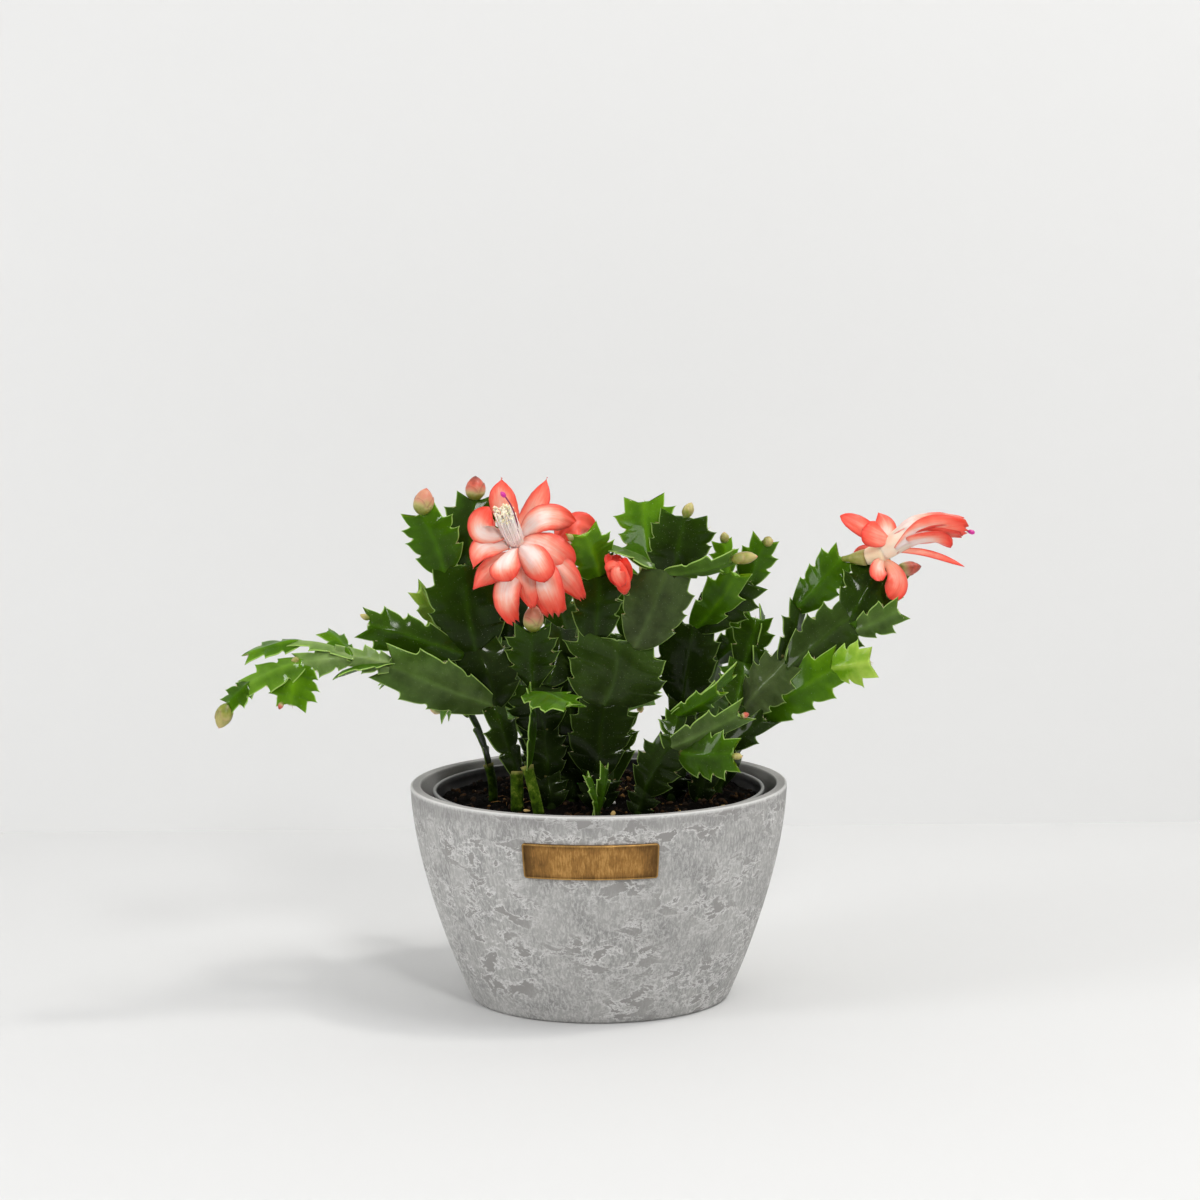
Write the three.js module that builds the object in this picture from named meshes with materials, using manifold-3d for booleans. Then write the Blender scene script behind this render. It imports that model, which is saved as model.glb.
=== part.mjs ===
// Potted Christmas cactus in flower: leafy stems stand in the soil of a thin grow pot,
// and the grow pot stands in a round outer pot of faux stone with a bare brass plate.
// Millimetres, +Z up. The origin is the centre of the outer pot's base, and -Y is the front.
import * as THREE from "three";
import { mergeVertices } from "three/addons/utils/BufferGeometryUtils.js";
import Module from "manifold-3d";

const wasm = await Module();
wasm.setup();

// Driving dimensions of the pots
const POT_HEIGHT = 102;
const POT_RIM_RADIUS = 89;
const POT_BASE_RADIUS = 61;
const POT_WALL = 5;
const POT_FLOOR = 7;
const LIP_BEVEL = 0.8;
const FOOT_BEVEL = 1.2;
const GROW_HEIGHT = 92.5;
const GROW_RIM_RADIUS = 78.5;
const GROW_BASE_RADIUS = 54;
const GROW_WALL = 1.2;
const GROW_BAND = 11;
const GROW_BAND_STEP = 2.4;
const GROW_BAND_SLOPE = 1;
const GROW_LIP = 1.8;
const DRAIN_HOLES = 6;
const DRAIN_RADIUS = 4;
const DRAIN_CIRCLE = 38;
const DRAIN_SIDES = 8;
const SOIL_DROP = 6;
const SOIL_BUMP = 1.3;
const SOIL_EDGE_DROP = 1;
const SOIL_RINGS = [60, 34];
const GAP = 0.3;
const SEAT_GAP = 0.8;
const POT_SIDES = 32;
const GROW_SIDES = 24;

// Crest-to-crest lengths of the soil's wide bumps and of its small slanted ones
const WIDE_BUMP_X = 30;
const WIDE_BUMP_Y = 37;
const SMALL_BUMP_X = 20;
const SMALL_BUMP_Y = 15;
const SMALL_BUMP_SHARE = 0.6;

// Driving dimensions of the plate
const PLATE_WIDTH = 62;
const PLATE_HEIGHT = 16.5;
const PLATE_MIDDLE = 81;
const PLATE_OFFSET = -4;
const PLATE_THICK = 1.1;
const PLATE_BORDER = 1.5;
const PLATE_BORDER_RISE = 0.6;
const PLATE_COLUMNS = 8;

// Driving dimensions of the plant
const RIB_THICK = 2.8;
const NECK_THICK = 1.2;
const EDGE_THICK = 0.8;
const SLIM_WIDTH = 15;
const ROOT_SUNK = 2;
const FORK_SPREAD = 0.28;
const ARCH = 0.05;
const KEEL = 0.12;
const FOOT_RADIUS = 3;
const FOOT_DEPTH = 14;
const FOOT_RISE = 3;
const FOOT_SIDES = 6;
const TUBE_SIDES = 6;
const PETAL_THICK = 0.8;
const BUD_SIDES = 7;
const MERGE = 1e-4;

// The front side of a leaf with no turn looks this way
const FACING = new THREE.Vector3(0, -1, 0.35).normalize();
// Axis that a turned shape is made about
const UP = new THREE.Vector3(0, 1, 0);

// Outer pot's side: height, radius
const POT_SIDE = [
  [9.8, 65.3], [23.3, 70.8], [37, 75.6], [53, 80.5], [66.4, 84.1], [79, 86.5], [91, 88.3],
];

// Heights of the corners on the outer pot's inside, from the top
const POT_INSIDE = [66.4, 37];

// Half outline of a leaf: place along it, reach to the side, the rib point that its next edge fans from,
// and whether it is the sharp point of a tooth
const BROAD_RIB = [0, 0.33, 0.72, 0.95];
const BROAD_SIDE = [
  [0.24, 0.74, 0, false], [0.42, 1.02, 1, true], [0.48, 0.8, 1, false], [0.76, 1.1, 1, true],
  [0.8, 0.76, 2, false], [1.06, 0.78, 2, true], [0.95, 0.36, 2, false],
];
const SLIM_RIB = [0, 0.45, 0.94];
const SLIM_SIDE = [
  [0.25, 0.68, 0, false], [0.61, 1.06, 1, true], [0.67, 0.7, 1, false], [1.04, 0.82, 1, true],
  [0.94, 0.3, 1, false],
];

// Root end of a stem: radius as a share of FOOT_RADIUS, share of the length
const FOOT_ROWS = [[0, 0], [1, 0], [1, 0.8], [0.8, 1], [0, 1]];

// Closed bud: radius as a share of its half width, share of the length
const BUD_ROWS = [[0, 0], [0.3, 0], [0.9, 0.25], [1, 0.45], [0.72, 0.75], [0, 1]];

// Petal: share of its length, width as a share of its full width
const PETAL_STATIONS = [[0, 0.22], [0.4, 1], [0.75, 0.85], [1, 0.1]];
const PETAL_CUP = 0.15;

// Leaves of each stem: name, what it grows from, tip, width, turn about its length, place on the fork
const STEMS = {
  left_stem: {
    foot: [-38, -32],
    leaves: [
      ["woody", "foot", [-38, -31, 113], 10, 10],
      ["low", "woody", [-49, -29, 145], 14, 15],
      ["fan", "low", [-98, -42, 166], 23, -20],
      ["mid", "low", [-57, -24, 171], 28, 0],
      ["big", "mid", [-62, -22, 210], 33, 5],
      ["tip_a", "big", [-81, -28, 234], 22, -12, -1],
      ["tip_b", "big", [-56, -12, 239], 25, 0, 0.3],
      ["bright", "mid", [-107, -34, 183], 19, -5, -1],
      ["arm_1", "fan", [-114, -46, 170], 12, 0],
      ["arm_2", "arm_1", [-137, -50, 167], 13, 0],
      ["arm_upper", "arm_1", [-139, -42, 176], 11, 60],
      ["arm_upper_end", "arm_upper", [-161, -44, 170], 14, 50],
      ["arm_spur", "arm_1", [-125, -38, 180], 10, 30],
      ["arm_end", "arm_2", [-161, -53, 157], 14, 20],
      ["arm_drop", "arm_end", [-169, -55, 149], 12, 20],
      ["arm_hang", "arm_2", [-140, -54, 148], 20, 0],
      ["arm_edge", "fan", [-118, -50, 162], 11, 80],
    ],
  },
  left_back_stem: {
    foot: [-50, -6],
    leaves: [
      ["woody", "foot", [-52, -5, 112], 9, 60],
      ["low", "woody", [-61, -4, 138], 14, 75],
      ["mid", "low", [-73, 0, 174], 20, 30],
      ["pale", "mid", [-84, -6, 195], 16, 50],
      ["up", "mid", [-66, 8, 206], 22, 60],
      ["side", "low", [-88, 22, 158], 22, 45],
      ["side_end", "side", [-100, 44, 146], 20, 70],
    ],
  },
  front_left_stem: {
    foot: [-28, -44],
    leaves: [
      ["woody", "foot", [-33, -40, 117], 9, 20],
      ["low", "woody", [-31, -43, 153], 15, 82],
      ["top", "low", [-12, -57, 148], 25, -58],
    ],
  },
  middle_left_stem: {
    foot: [-22, -26],
    leaves: [
      ["woody", "foot", [-24, -24, 110], 16, 0],
      ["low", "woody", [-25, -22, 132], 20, 20],
      ["mid", "low", [-30, -22, 153], 25, 0],
      ["top", "mid", [-30, -26, 179], 23, 0],
      ["behind", "mid", [-17, -10, 178], 22, 10, 1],
    ],
  },
  centre_stem: {
    foot: [0, -30],
    leaves: [
      ["woody", "foot", [0, -29, 112], 18, 0],
      ["low", "woody", [3, -26, 145], 28, 0],
      ["wide", "low", [9, -28, 175], 44, 0],
      ["left", "wide", [1, -26, 205], 21, 0, -0.8],
      ["left_tip", "left", [-6, -38, 225], 20, 0],
      ["right", "wide", [33, -34, 208], 29, 0, 0.8],
      ["right_tip", "right", [41, -32, 232], 27, 0, 0.5],
      ["back_tip", "right", [22, -20, 238], 25, -10, -1],
      ["lying", "right", [4, -24, 217], 15, 60, -1],
      ["fold", "right", [63, -52, 214], 13, 65, 0.2],
    ],
  },
  front_shoots: {
    foot: [-1, -48],
    leaves: [
      ["shoot_a", "foot", [-5, -50, 114], 8, 60],
      ["shoot_b", "foot", [3, -47, 118], 8, 50],
    ],
  },
  centre_right_stem: {
    foot: [34, -6],
    leaves: [
      ["woody", "foot", [36, -5, 110], 14, 0],
      ["low", "woody", [40, -6, 142], 18, 10],
      ["mid", "low", [45, -8, 179], 27, 0],
      ["out", "mid", [72, -14, 200], 22, 0, 0.5],
      ["out_tip", "out", [78, -16, 218], 16, 0],
      ["bright", "mid", [65, -26, 205], 17, 20, 0.2],
      ["small", "bright", [58, -26, 219], 12, 10, -1],
    ],
  },
  right_stem: {
    foot: [47, -14],
    leaves: [
      ["woody", "foot", [52, -12, 116], 14, 0],
      ["low", "woody", [70, -14, 140], 18, 0],
      ["low_dark", "woody", [79, -22, 136], 13, 10],
      ["fold", "low", [89, -22, 163], 24, -25],
      ["bright", "low", [111, -33, 161], 22, 10, 1],
      ["pale", "bright", [126, -40, 164], 18, 15],
      ["dark", "fold", [119, -26, 184], 24, 0, 0.5],
      ["edge", "fold", [94, -12, 187], 14, 40, -0.5],
      ["blossom", "edge", [115, -16, 210], 19, 0],
      ["big", "dark", [133, -17, 207], 24, 0],
      ["behind", "dark", [143, -6, 201], 18, 0, 0.5],
      ["lying", "dark", [140, -33, 187], 15, 10, 1],
      ["up", "low", [69, 0, 159], 20, 0, -1],
      ["up_tip", "up", [75, 2, 180], 18, 0],
      ["up_edge", "up", [78, 10, 181], 14, 80, 1],
      ["back", "fold", [97, 6, 176], 20, 75],
      ["back_end", "back", [104, 30, 168], 20, 60],
    ],
  },
  low_right_stem: {
    foot: [18, -46],
    leaves: [
      ["woody", "foot", [22, -46, 107], 14, 0],
      ["low", "woody", [34, -48, 128], 20, 0],
      ["bright", "low", [62, -64, 126], 20, 10, 1],
      ["lit", "low", [66, -58, 144], 15, 30],
      ["mid", "low", [36, -43, 142], 14, 20],
      ["narrow", "mid", [56, -50, 153], 12, 50],
      ["edge", "mid", [63, -36, 159], 13, 75],
    ],
  },
  shaded_stem: {
    foot: [-13, -14],
    leaves: [
      ["woody", "foot", [-13, -14, 112], 18, 10],
      ["low", "woody", [-13, -13, 142], 24, 5],
      ["mid", "low", [-13, -13, 162], 20, 0],
      ["side", "low", [3, -6, 164], 18, 10, 1],
    ],
  },
  middle_back_stem: {
    foot: [-10, 6],
    leaves: [
      ["low", "foot", [-12, 10, 134], 24, 40],
      ["mid", "low", [-12, 12, 168], 24, 70],
      ["top", "mid", [-24, 10, 196], 20, 20, -1],
      ["top_b", "mid", [4, 16, 196], 22, 30, 1],
      ["side", "low", [10, 14, 152], 20, 50],
    ],
  },
  back_left_stem: {
    foot: [-28, 24],
    leaves: [
      ["low", "foot", [-36, 32, 134], 22, 60],
      ["mid", "low", [-46, 38, 166], 24, 50],
      ["top", "mid", [-40, 42, 197], 22, 35],
      ["side", "mid", [-70, 48, 182], 20, 30, -1],
      ["out", "low", [-58, 56, 146], 22, 40],
      ["out_end", "out", [-78, 70, 128], 20, 30],
      ["inner", "low", [-26, 54, 152], 20, 50],
    ],
  },
  back_centre_stem: {
    foot: [6, 28],
    leaves: [
      ["low", "foot", [6, 38, 136], 24, 0],
      ["mid", "low", [8, 42, 168], 26, 5],
      ["top", "mid", [-6, 42, 196], 20, 0, -1],
      ["top_b", "mid", [24, 48, 194], 22, 10, 1],
      ["out", "low", [10, 66, 154], 22, 20],
      ["out_end", "out", [18, 92, 142], 22, 35],
      ["out_tip", "out_end", [22, 110, 120], 18, 10],
    ],
  },
  back_right_stem: {
    foot: [34, 22],
    leaves: [
      ["low", "foot", [46, 30, 130], 22, 50],
      ["mid", "low", [58, 38, 156], 22, 70],
      ["top", "mid", [76, 42, 172], 18, 40],
      ["inner", "low", [38, 52, 150], 20, 60],
      ["out", "low", [62, 54, 142], 20, 30, 1],
      ["out_end", "out", [82, 72, 130], 18, 20],
    ],
  },
  right_back_stem: {
    foot: [57, 10],
    leaves: [
      ["low", "foot", [66, 14, 128], 20, 50],
      ["mid", "low", [80, 20, 151], 20, 40],
      ["out", "mid", [97, 42, 148], 20, 65],
      ["out_end", "out", [110, 60, 134], 20, 30],
    ],
  },
  far_back_stem: {
    foot: [-8, 48],
    leaves: [
      ["low", "foot", [-16, 66, 122], 20, 0],
      ["out", "low", [-32, 86, 130], 22, 0, -1],
      ["end", "out", [-46, 104, 114], 20, 0],
      ["side", "low", [2, 88, 122], 20, 0, 1],
    ],
  },
};

// Closed buds: name, the stem and leaf they sit on, tip, width
const BUDS = [
  ["bud_upper_left", "left_stem", "tip_a", [-79, -28, 245], 8.8],
  ["bud_top", "left_stem", "tip_b", [-56, -12, 249], 9],
  ["bud_arm", "left_stem", "arm_drop", [-173, -56, 138.5], 7.6],
  ["bud_middle", "middle_left_stem", "top", [-29, -29, 190.5], 9],
  ["bud_olive", "centre_stem", "right_tip", [44, -30, 237.5], 5],
  ["bud_cream", "centre_stem", "fold", [73, -58, 215.5], 5.4],
  ["bud_tan", "centre_right_stem", "out_tip", [82, -18, 222], 4.6],
  ["bud_right", "right_stem", "behind", [152, -5, 204.5], 6],
  ["bud_back", "back_centre_stem", "top_b", [26, 50, 207], 8],
  ["bud_back_left", "back_left_stem", "out_end", [-82, 83, 124], 7],
  ["bud_back_right", "back_right_stem", "out_end", [97, 76, 124], 6],
];

// Left bloom: where it faces, its throat, the waist that its lower petals ring, and its petals' tips
// and widths
const LEFT_FACING = new THREE.Vector3(-0.35, -0.85, 0.35).normalize();
const LEFT_THROAT = [-38, -30, 221];
const LEFT_WAIST = [-19, -21, 218];
const LEFT_MOUTH_PETALS = [
  [[-43.5, -30, 249], 12], [[-23.5, -22, 248], 11], [[-8, -21, 226.5], 13], [[-14, -36, 208], 13],
  [[-23, -46, 203.5], 13], [[-40, -49, 204], 13], [[-56, -42, 209.5], 11], [[-48.5, -39, 236], 12],
];
const LEFT_WAIST_PETALS = [
  [[-56, -30, 200], 12], [[-37, -30, 183], 13], [[-19.5, -34, 186], 15], [[-12, -34.5, 193.5], 12],
  [[2, -2, 224], 11], [[-12, 2, 232], 11], [[-24, 6, 206], 12],
];
const LEFT_STAMEN_TIP = [-45, -44, 238];
const LEFT_STIGMA = [-42, -48, 245];
const LEFT_STYLE_OFFSET = [0.8, -0.6, 0.4];
const LEFT_WAIST_RING = { ring: 2.2, bow: 4 };
const LEFT_MOUTH_RING = { ring: 3.6, bow: 4 };

// Turned pieces of the left bloom: rows of radius and share of the length
const LEFT_STALK_ROWS = [[0, 0], [1.2, 0], [3.4, 1.1], [0, 1.1]];
const LEFT_THROAT_ROWS = [[0, -0.05], [3.6, 0], [5.2, 1], [0, 1]];
const STAMEN_ROWS = [[0, 0], [2, 0], [2.2, 0.6], [2.9, 0.85], [0, 1]];
const STAMEN_WELL_ROWS = [[0, -0.1], [2.6, -0.1], [3.3, 1], [0, 1.4]];
const LEFT_STYLE_ROWS = [[0, -0.2], [0.7, -0.2], [0.7, 0.7], [1.6, 0.8], [1.4, 1], [0, 1.1]];
const LEFT_CHANNEL_ROWS = [[0, -0.3], [1.1, -0.3], [1.1, 1], [0, 1.2]];
const STAMEN_SIDES = 8;
const STYLE_SIDES = 6;
const STYLE_START = 0.9;

// Right bloom, seen from its side: the ovary, the petals that bend back, and those still furled
const RIGHT_WAIST = [131, -21, 214];
const RIGHT_MOUTH = [151, -23, 224.5];
const RIGHT_FACING = new THREE.Vector3(0.9, -0.1, 0.3).normalize();
const RIGHT_BACK_PETALS = [
  [[113, -27, 231], 9], [[131, -11, 230], 9], [[131, -34, 200.5], 8], [[136, -33, 192.7], 9],
  [[119, -5, 208], 9],
];
const RIGHT_LONG_PETAL = [[170, -27, 206.5], 7];
const RIGHT_FURLED_PETALS = [
  [[171, -23, 229], 10], [[166, -28, 215], 10], [[170, -17, 224], 10], [[170, -31, 223], 9],
];
const RIGHT_STIGMA = [174, -24, 223];
const RIGHT_BACK_RING = { ring: 2.6, bow: 3 };
const RIGHT_LONG_RING = { ring: 3, bow: 1 };
const RIGHT_FURLED_RING = { ring: 4, bow: 1 };

// Turned pieces of the right bloom: rows of radius and share of the length
const OVARY_ROWS = [[0, 0], [1, 0], [3.6, 1], [0, 1]];
const RIGHT_CALYX_ROWS = [[0, 0], [3.6, 0], [4.6, 1], [0, 1.2]];
const RIGHT_TUBE_ROWS = [[0, -0.1], [4, 0], [5.4, 1], [0, 1]];
const RIGHT_STYLE_ROWS = [[0, 0], [0.7, 0], [0.7, 0.85], [1.5, 0.9], [1.3, 1], [0, 1.05]];
const RIGHT_CHANNEL_ROWS = [[0, -0.1], [1.2, -0.1], [1.2, 1.1], [0, 1.2]];
const OVARY_SHARE = 0.75;
const CALYX_START = 0.12;
const LONG_PETAL_SEAT = 0.3;
const FURLED_SEAT = 0.85;
const RIGHT_STYLE_START = 0.1;

// Half-open bud: its seat, tip, width and the tips of its short petals
const OPENING_BASE = [13, -33, 196];
const OPENING_TIP = [10, -40, 212];
const OPENING_WIDTH = 10;
const OPENING_WAIST = 0.45;
const OPENING_RING = { ring: 1.5, bow: 1 };
const OPENING_PETALS = [
  [[4, -39, 215.5], 7], [[15, -41, 214], 7], [[10, -46, 213], 7],
];

// Colours and finishes
const LOOKS = {
  pot: { color: 0xa4a2a0, roughness: 0.75, metalness: 0 },
  plate: { color: 0xb98a3e, roughness: 0.35, metalness: 1 },
  grow: { color: 0x1c1c1c, roughness: 0.45, metalness: 0 },
  soil: { color: 0x2a2018, roughness: 0.95, metalness: 0 },
  leaf: { color: 0x2e5a10, roughness: 0.35, metalness: 0 },
  petal: { color: 0xf0705a, roughness: 0.5, metalness: 0 },
  stamen: { color: 0xf2e3b0, roughness: 0.6, metalness: 0 },
  stigma: { color: 0xb01470, roughness: 0.5, metalness: 0 },
  ovary: { color: 0xb0a830, roughness: 0.45, metalness: 0 },
  bud: { color: 0xe08a70, roughness: 0.45, metalness: 0 },
};

const plant = new THREE.Group();

function addPiece(name, geometry, look) {
  const material = new THREE.MeshStandardMaterial(LOOKS[look]);
  const mesh = new THREE.Mesh(geometry, material);
  mesh.name = name;
  plant.add(mesh);
}

function vector(place) {
  return new THREE.Vector3(place[0], place[1], place[2]);
}

// A geometry with shared vertices merged and collapsed triangles dropped
function closed(geometry) {
  const bare = geometry.clone();
  bare.deleteAttribute("normal");
  bare.deleteAttribute("uv");
  const merged = mergeVertices(bare, MERGE);
  const corners = merged.index.array;
  const kept = [];
  for (let i = 0; i < corners.length; i += 3) {
    const [a, b, c] = [corners[i], corners[i + 1], corners[i + 2]];
    if (a !== b && b !== c && c !== a) {
      kept.push(a, b, c);
    }
  }
  merged.setIndex(kept);
  return merged;
}

function solidOf(geometry) {
  const mesh = closed(geometry);
  const vertProperties = new Float32Array(mesh.attributes.position.array);
  const triVerts = new Uint32Array(mesh.index.array);
  return new wasm.Manifold(new wasm.Mesh({ numProp: 3, vertProperties, triVerts }));
}

function geometryOf(solid) {
  const mesh = solid.getMesh();
  const geometry = new THREE.BufferGeometry();
  geometry.setAttribute("position", new THREE.BufferAttribute(mesh.vertProperties, 3));
  geometry.setIndex(new THREE.BufferAttribute(mesh.triVerts, 1));
  geometry.computeVertexNormals();
  return geometry;
}

function fuse(geometries) {
  let whole = solidOf(geometries[0]);
  for (const geometry of geometries.slice(1)) {
    whole = whole.add(solidOf(geometry));
  }
  return whole;
}

function meshFrom(points, triangles) {
  const geometry = new THREE.BufferGeometry();
  const numbers = points.flatMap((point) => [point.x, point.y, point.z]);
  geometry.setAttribute("position", new THREE.Float32BufferAttribute(numbers, 3));
  geometry.setIndex(triangles);
  return geometry;
}

// A turned shape about +Z from rows of radius and height, counted up the outside
function turned(rows, sides) {
  const profile = rows.map(([radius, height]) => new THREE.Vector2(radius, height));
  const geometry = new THREE.LatheGeometry(profile, sides);
  geometry.rotateX(Math.PI / 2);
  return geometry;
}

// A turned shape laid from one point to another: rows of radius and share of the length
function spindle(from, to, rows, sides) {
  const length = from.distanceTo(to);
  const profile = rows.map(([radius, share]) => new THREE.Vector2(radius, share * length));
  const geometry = new THREE.LatheGeometry(profile, sides);
  const direction = to.clone().sub(from).normalize();
  geometry.applyQuaternion(new THREE.Quaternion().setFromUnitVectors(UP, direction));
  geometry.translate(from.x, from.y, from.z);
  return geometry;
}

// Radius of the outer pot's side at a height
function potRadius(height) {
  const rows = [[0, POT_BASE_RADIUS], ...POT_SIDE, [POT_HEIGHT, POT_RIM_RADIUS]];
  const next = rows.findIndex((row) => row[0] >= height);
  const above = rows[Math.max(next, 1)];
  const below = rows[Math.max(next, 1) - 1];
  const share = (height - below[0]) / (above[0] - below[0]);
  return below[1] + share * (above[1] - below[1]);
}

function outerPot() {
  const side = POT_SIDE.map(([height, radius]) => [radius, height]);
  const inside = POT_INSIDE.map((height) => [potRadius(height) - POT_WALL, height]);
  const rimInside = POT_RIM_RADIUS - POT_WALL;
  return turned([
    [0, 0],
    [POT_BASE_RADIUS - FOOT_BEVEL, 0],
    [POT_BASE_RADIUS, FOOT_BEVEL],
    ...side,
    [POT_RIM_RADIUS, POT_HEIGHT - LIP_BEVEL],
    [POT_RIM_RADIUS - LIP_BEVEL, POT_HEIGHT],
    [rimInside + LIP_BEVEL, POT_HEIGHT],
    [rimInside, POT_HEIGHT - LIP_BEVEL],
    ...inside,
    [potRadius(POT_FLOOR) - POT_WALL, POT_FLOOR],
    [0, POT_FLOOR],
  ], POT_SIDES);
}

function growPot() {
  const low = POT_FLOOR + GAP;
  const high = low + GROW_HEIGHT;
  const wallTop = GROW_RIM_RADIUS - GROW_BAND_STEP - GROW_WALL;
  const bandFoot = high - GROW_BAND + GROW_BAND_SLOPE;
  let pot = solidOf(turned([
    [0, low],
    [GROW_BASE_RADIUS, low],
    [wallTop, high - GROW_BAND],
    [wallTop + GROW_BAND_STEP, bandFoot],
    [GROW_RIM_RADIUS, high - GROW_WALL],
    [GROW_RIM_RADIUS - GROW_WALL / 2, high],
    [GROW_RIM_RADIUS - GROW_LIP, high],
    [GROW_RIM_RADIUS - GROW_LIP, bandFoot + GROW_WALL],
    [wallTop - GROW_WALL, high - GROW_BAND],
    [GROW_BASE_RADIUS - GROW_WALL, low + GROW_WALL],
    [0, low + GROW_WALL],
  ], GROW_SIDES));
  for (let i = 0; i < DRAIN_HOLES; i += 1) {
    const angle = ((i + 0.5) / DRAIN_HOLES) * 2 * Math.PI;
    const hole = new THREE.CylinderGeometry(DRAIN_RADIUS, DRAIN_RADIUS, 4 * GROW_WALL, DRAIN_SIDES);
    hole.rotateX(Math.PI / 2);
    hole.translate(DRAIN_CIRCLE * Math.cos(angle), DRAIN_CIRCLE * Math.sin(angle), low);
    pot = pot.subtract(solidOf(hole));
  }
  return geometryOf(pot);
}

// How high the soil's top stands at a place, as a share of SOIL_BUMP
function soilWave(x, y) {
  const turn = 2 * Math.PI;
  const wide = Math.sin((turn * x) / WIDE_BUMP_X + 1) * Math.cos((turn * y) / WIDE_BUMP_Y);
  const small = Math.sin((turn * y) / SMALL_BUMP_Y - (turn * x) / SMALL_BUMP_X);
  return wide + SMALL_BUMP_SHARE * small;
}

// Soil: a fill of the grow pot with an uneven top, and a plain hole for every stem
function soil(feet) {
  const low = POT_FLOOR + 2 * GAP + GROW_WALL;
  const rim = POT_FLOOR + GAP + GROW_HEIGHT;
  const top = rim - SOIL_DROP;
  const wallTop = GROW_RIM_RADIUS - GROW_BAND_STEP - 2 * GROW_WALL - GAP;
  const edge = GROW_RIM_RADIUS - GROW_LIP - GAP;
  const body = turned([
    [0, low],
    [GROW_BASE_RADIUS - GROW_WALL - GAP, low],
    [wallTop, rim - GROW_BAND],
    [edge, rim - GROW_BAND + GROW_BAND_SLOPE + GROW_WALL + GAP],
    [edge, top - SOIL_EDGE_DROP],
    ...SOIL_RINGS.map((radius) => [radius, top]),
    [0, top],
  ], GROW_SIDES);
  const places = body.attributes.position;
  for (let i = 0; i < places.count; i += 1) {
    if (Math.abs(places.getZ(i) - top) < MERGE) {
      places.setZ(i, top + SOIL_BUMP * soilWave(places.getX(i), places.getY(i)));
    }
  }
  let fill = solidOf(body);
  for (const [x, y] of feet) {
    const radius = FOOT_RADIUS + GAP;
    const hole = new THREE.CylinderGeometry(radius, radius, 2 * FOOT_DEPTH, FOOT_SIDES);
    hole.rotateX(Math.PI / 2);
    hole.translate(x, y, top + GAP);
    fill = fill.subtract(solidOf(hole));
  }
  return geometryOf(fill);
}

// Brass plate with a raised border, curved to the outer pot's side
function plate() {
  const across = [-PLATE_WIDTH / 2];
  for (let i = 0; i <= PLATE_COLUMNS; i += 1) {
    across.push((i / PLATE_COLUMNS - 0.5) * (PLATE_WIDTH - 2 * PLATE_BORDER));
  }
  across.push(PLATE_WIDTH / 2);
  const half = PLATE_HEIGHT / 2;
  const inner = half - PLATE_BORDER;
  const up = [-half, -inner, 0, inner, half];
  const points = [];
  for (const depth of [0, 1]) {
    for (const offset of up) {
      for (const place of across) {
        const onBorder = Math.abs(place) === PLATE_WIDTH / 2 || Math.abs(offset) === half;
        const height = PLATE_MIDDLE + offset;
        const rise = depth * (PLATE_THICK + (onBorder ? PLATE_BORDER_RISE : 0));
        const radius = potRadius(height) + GAP + rise;
        const angle = (PLATE_OFFSET + place) / potRadius(PLATE_MIDDLE);
        points.push(new THREE.Vector3(radius * Math.sin(angle), -radius * Math.cos(angle), height));
      }
    }
  }
  const columns = across.length;
  const layer = columns * up.length;
  const triangles = [];
  const quad = (a, b, c, d) => triangles.push(a, b, c, a, c, d);
  for (let j = 0; j + 1 < up.length; j += 1) {
    for (let i = 0; i + 1 < columns; i += 1) {
      const a = j * columns + i;
      quad(a + columns, a + columns + 1, a + 1, a);
      quad(layer + a, layer + a + 1, layer + a + columns + 1, layer + a + columns);
    }
  }
  for (let i = 0; i + 1 < columns; i += 1) {
    const a = (up.length - 1) * columns + i;
    quad(i, i + 1, layer + i + 1, layer + i);
    quad(layer + a, layer + a + 1, a + 1, a);
  }
  for (let j = 0; j + 1 < up.length; j += 1) {
    const a = j * columns;
    const b = a + columns - 1;
    quad(layer + a, layer + a + columns, a + columns, a);
    quad(b, b + columns, layer + b + columns, layer + b);
  }
  return meshFrom(points, triangles);
}

// The three directions of a leaf: across it, along it, and out of its front
function leafAxes(base, tip, turn) {
  const along = tip.clone().sub(base).normalize();
  const out = FACING.clone().addScaledVector(along, -FACING.dot(along)).normalize();
  out.applyAxisAngle(along, THREE.MathUtils.degToRad(turn));
  const across = new THREE.Vector3().crossVectors(along, out);
  return { across, along, out };
}

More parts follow.
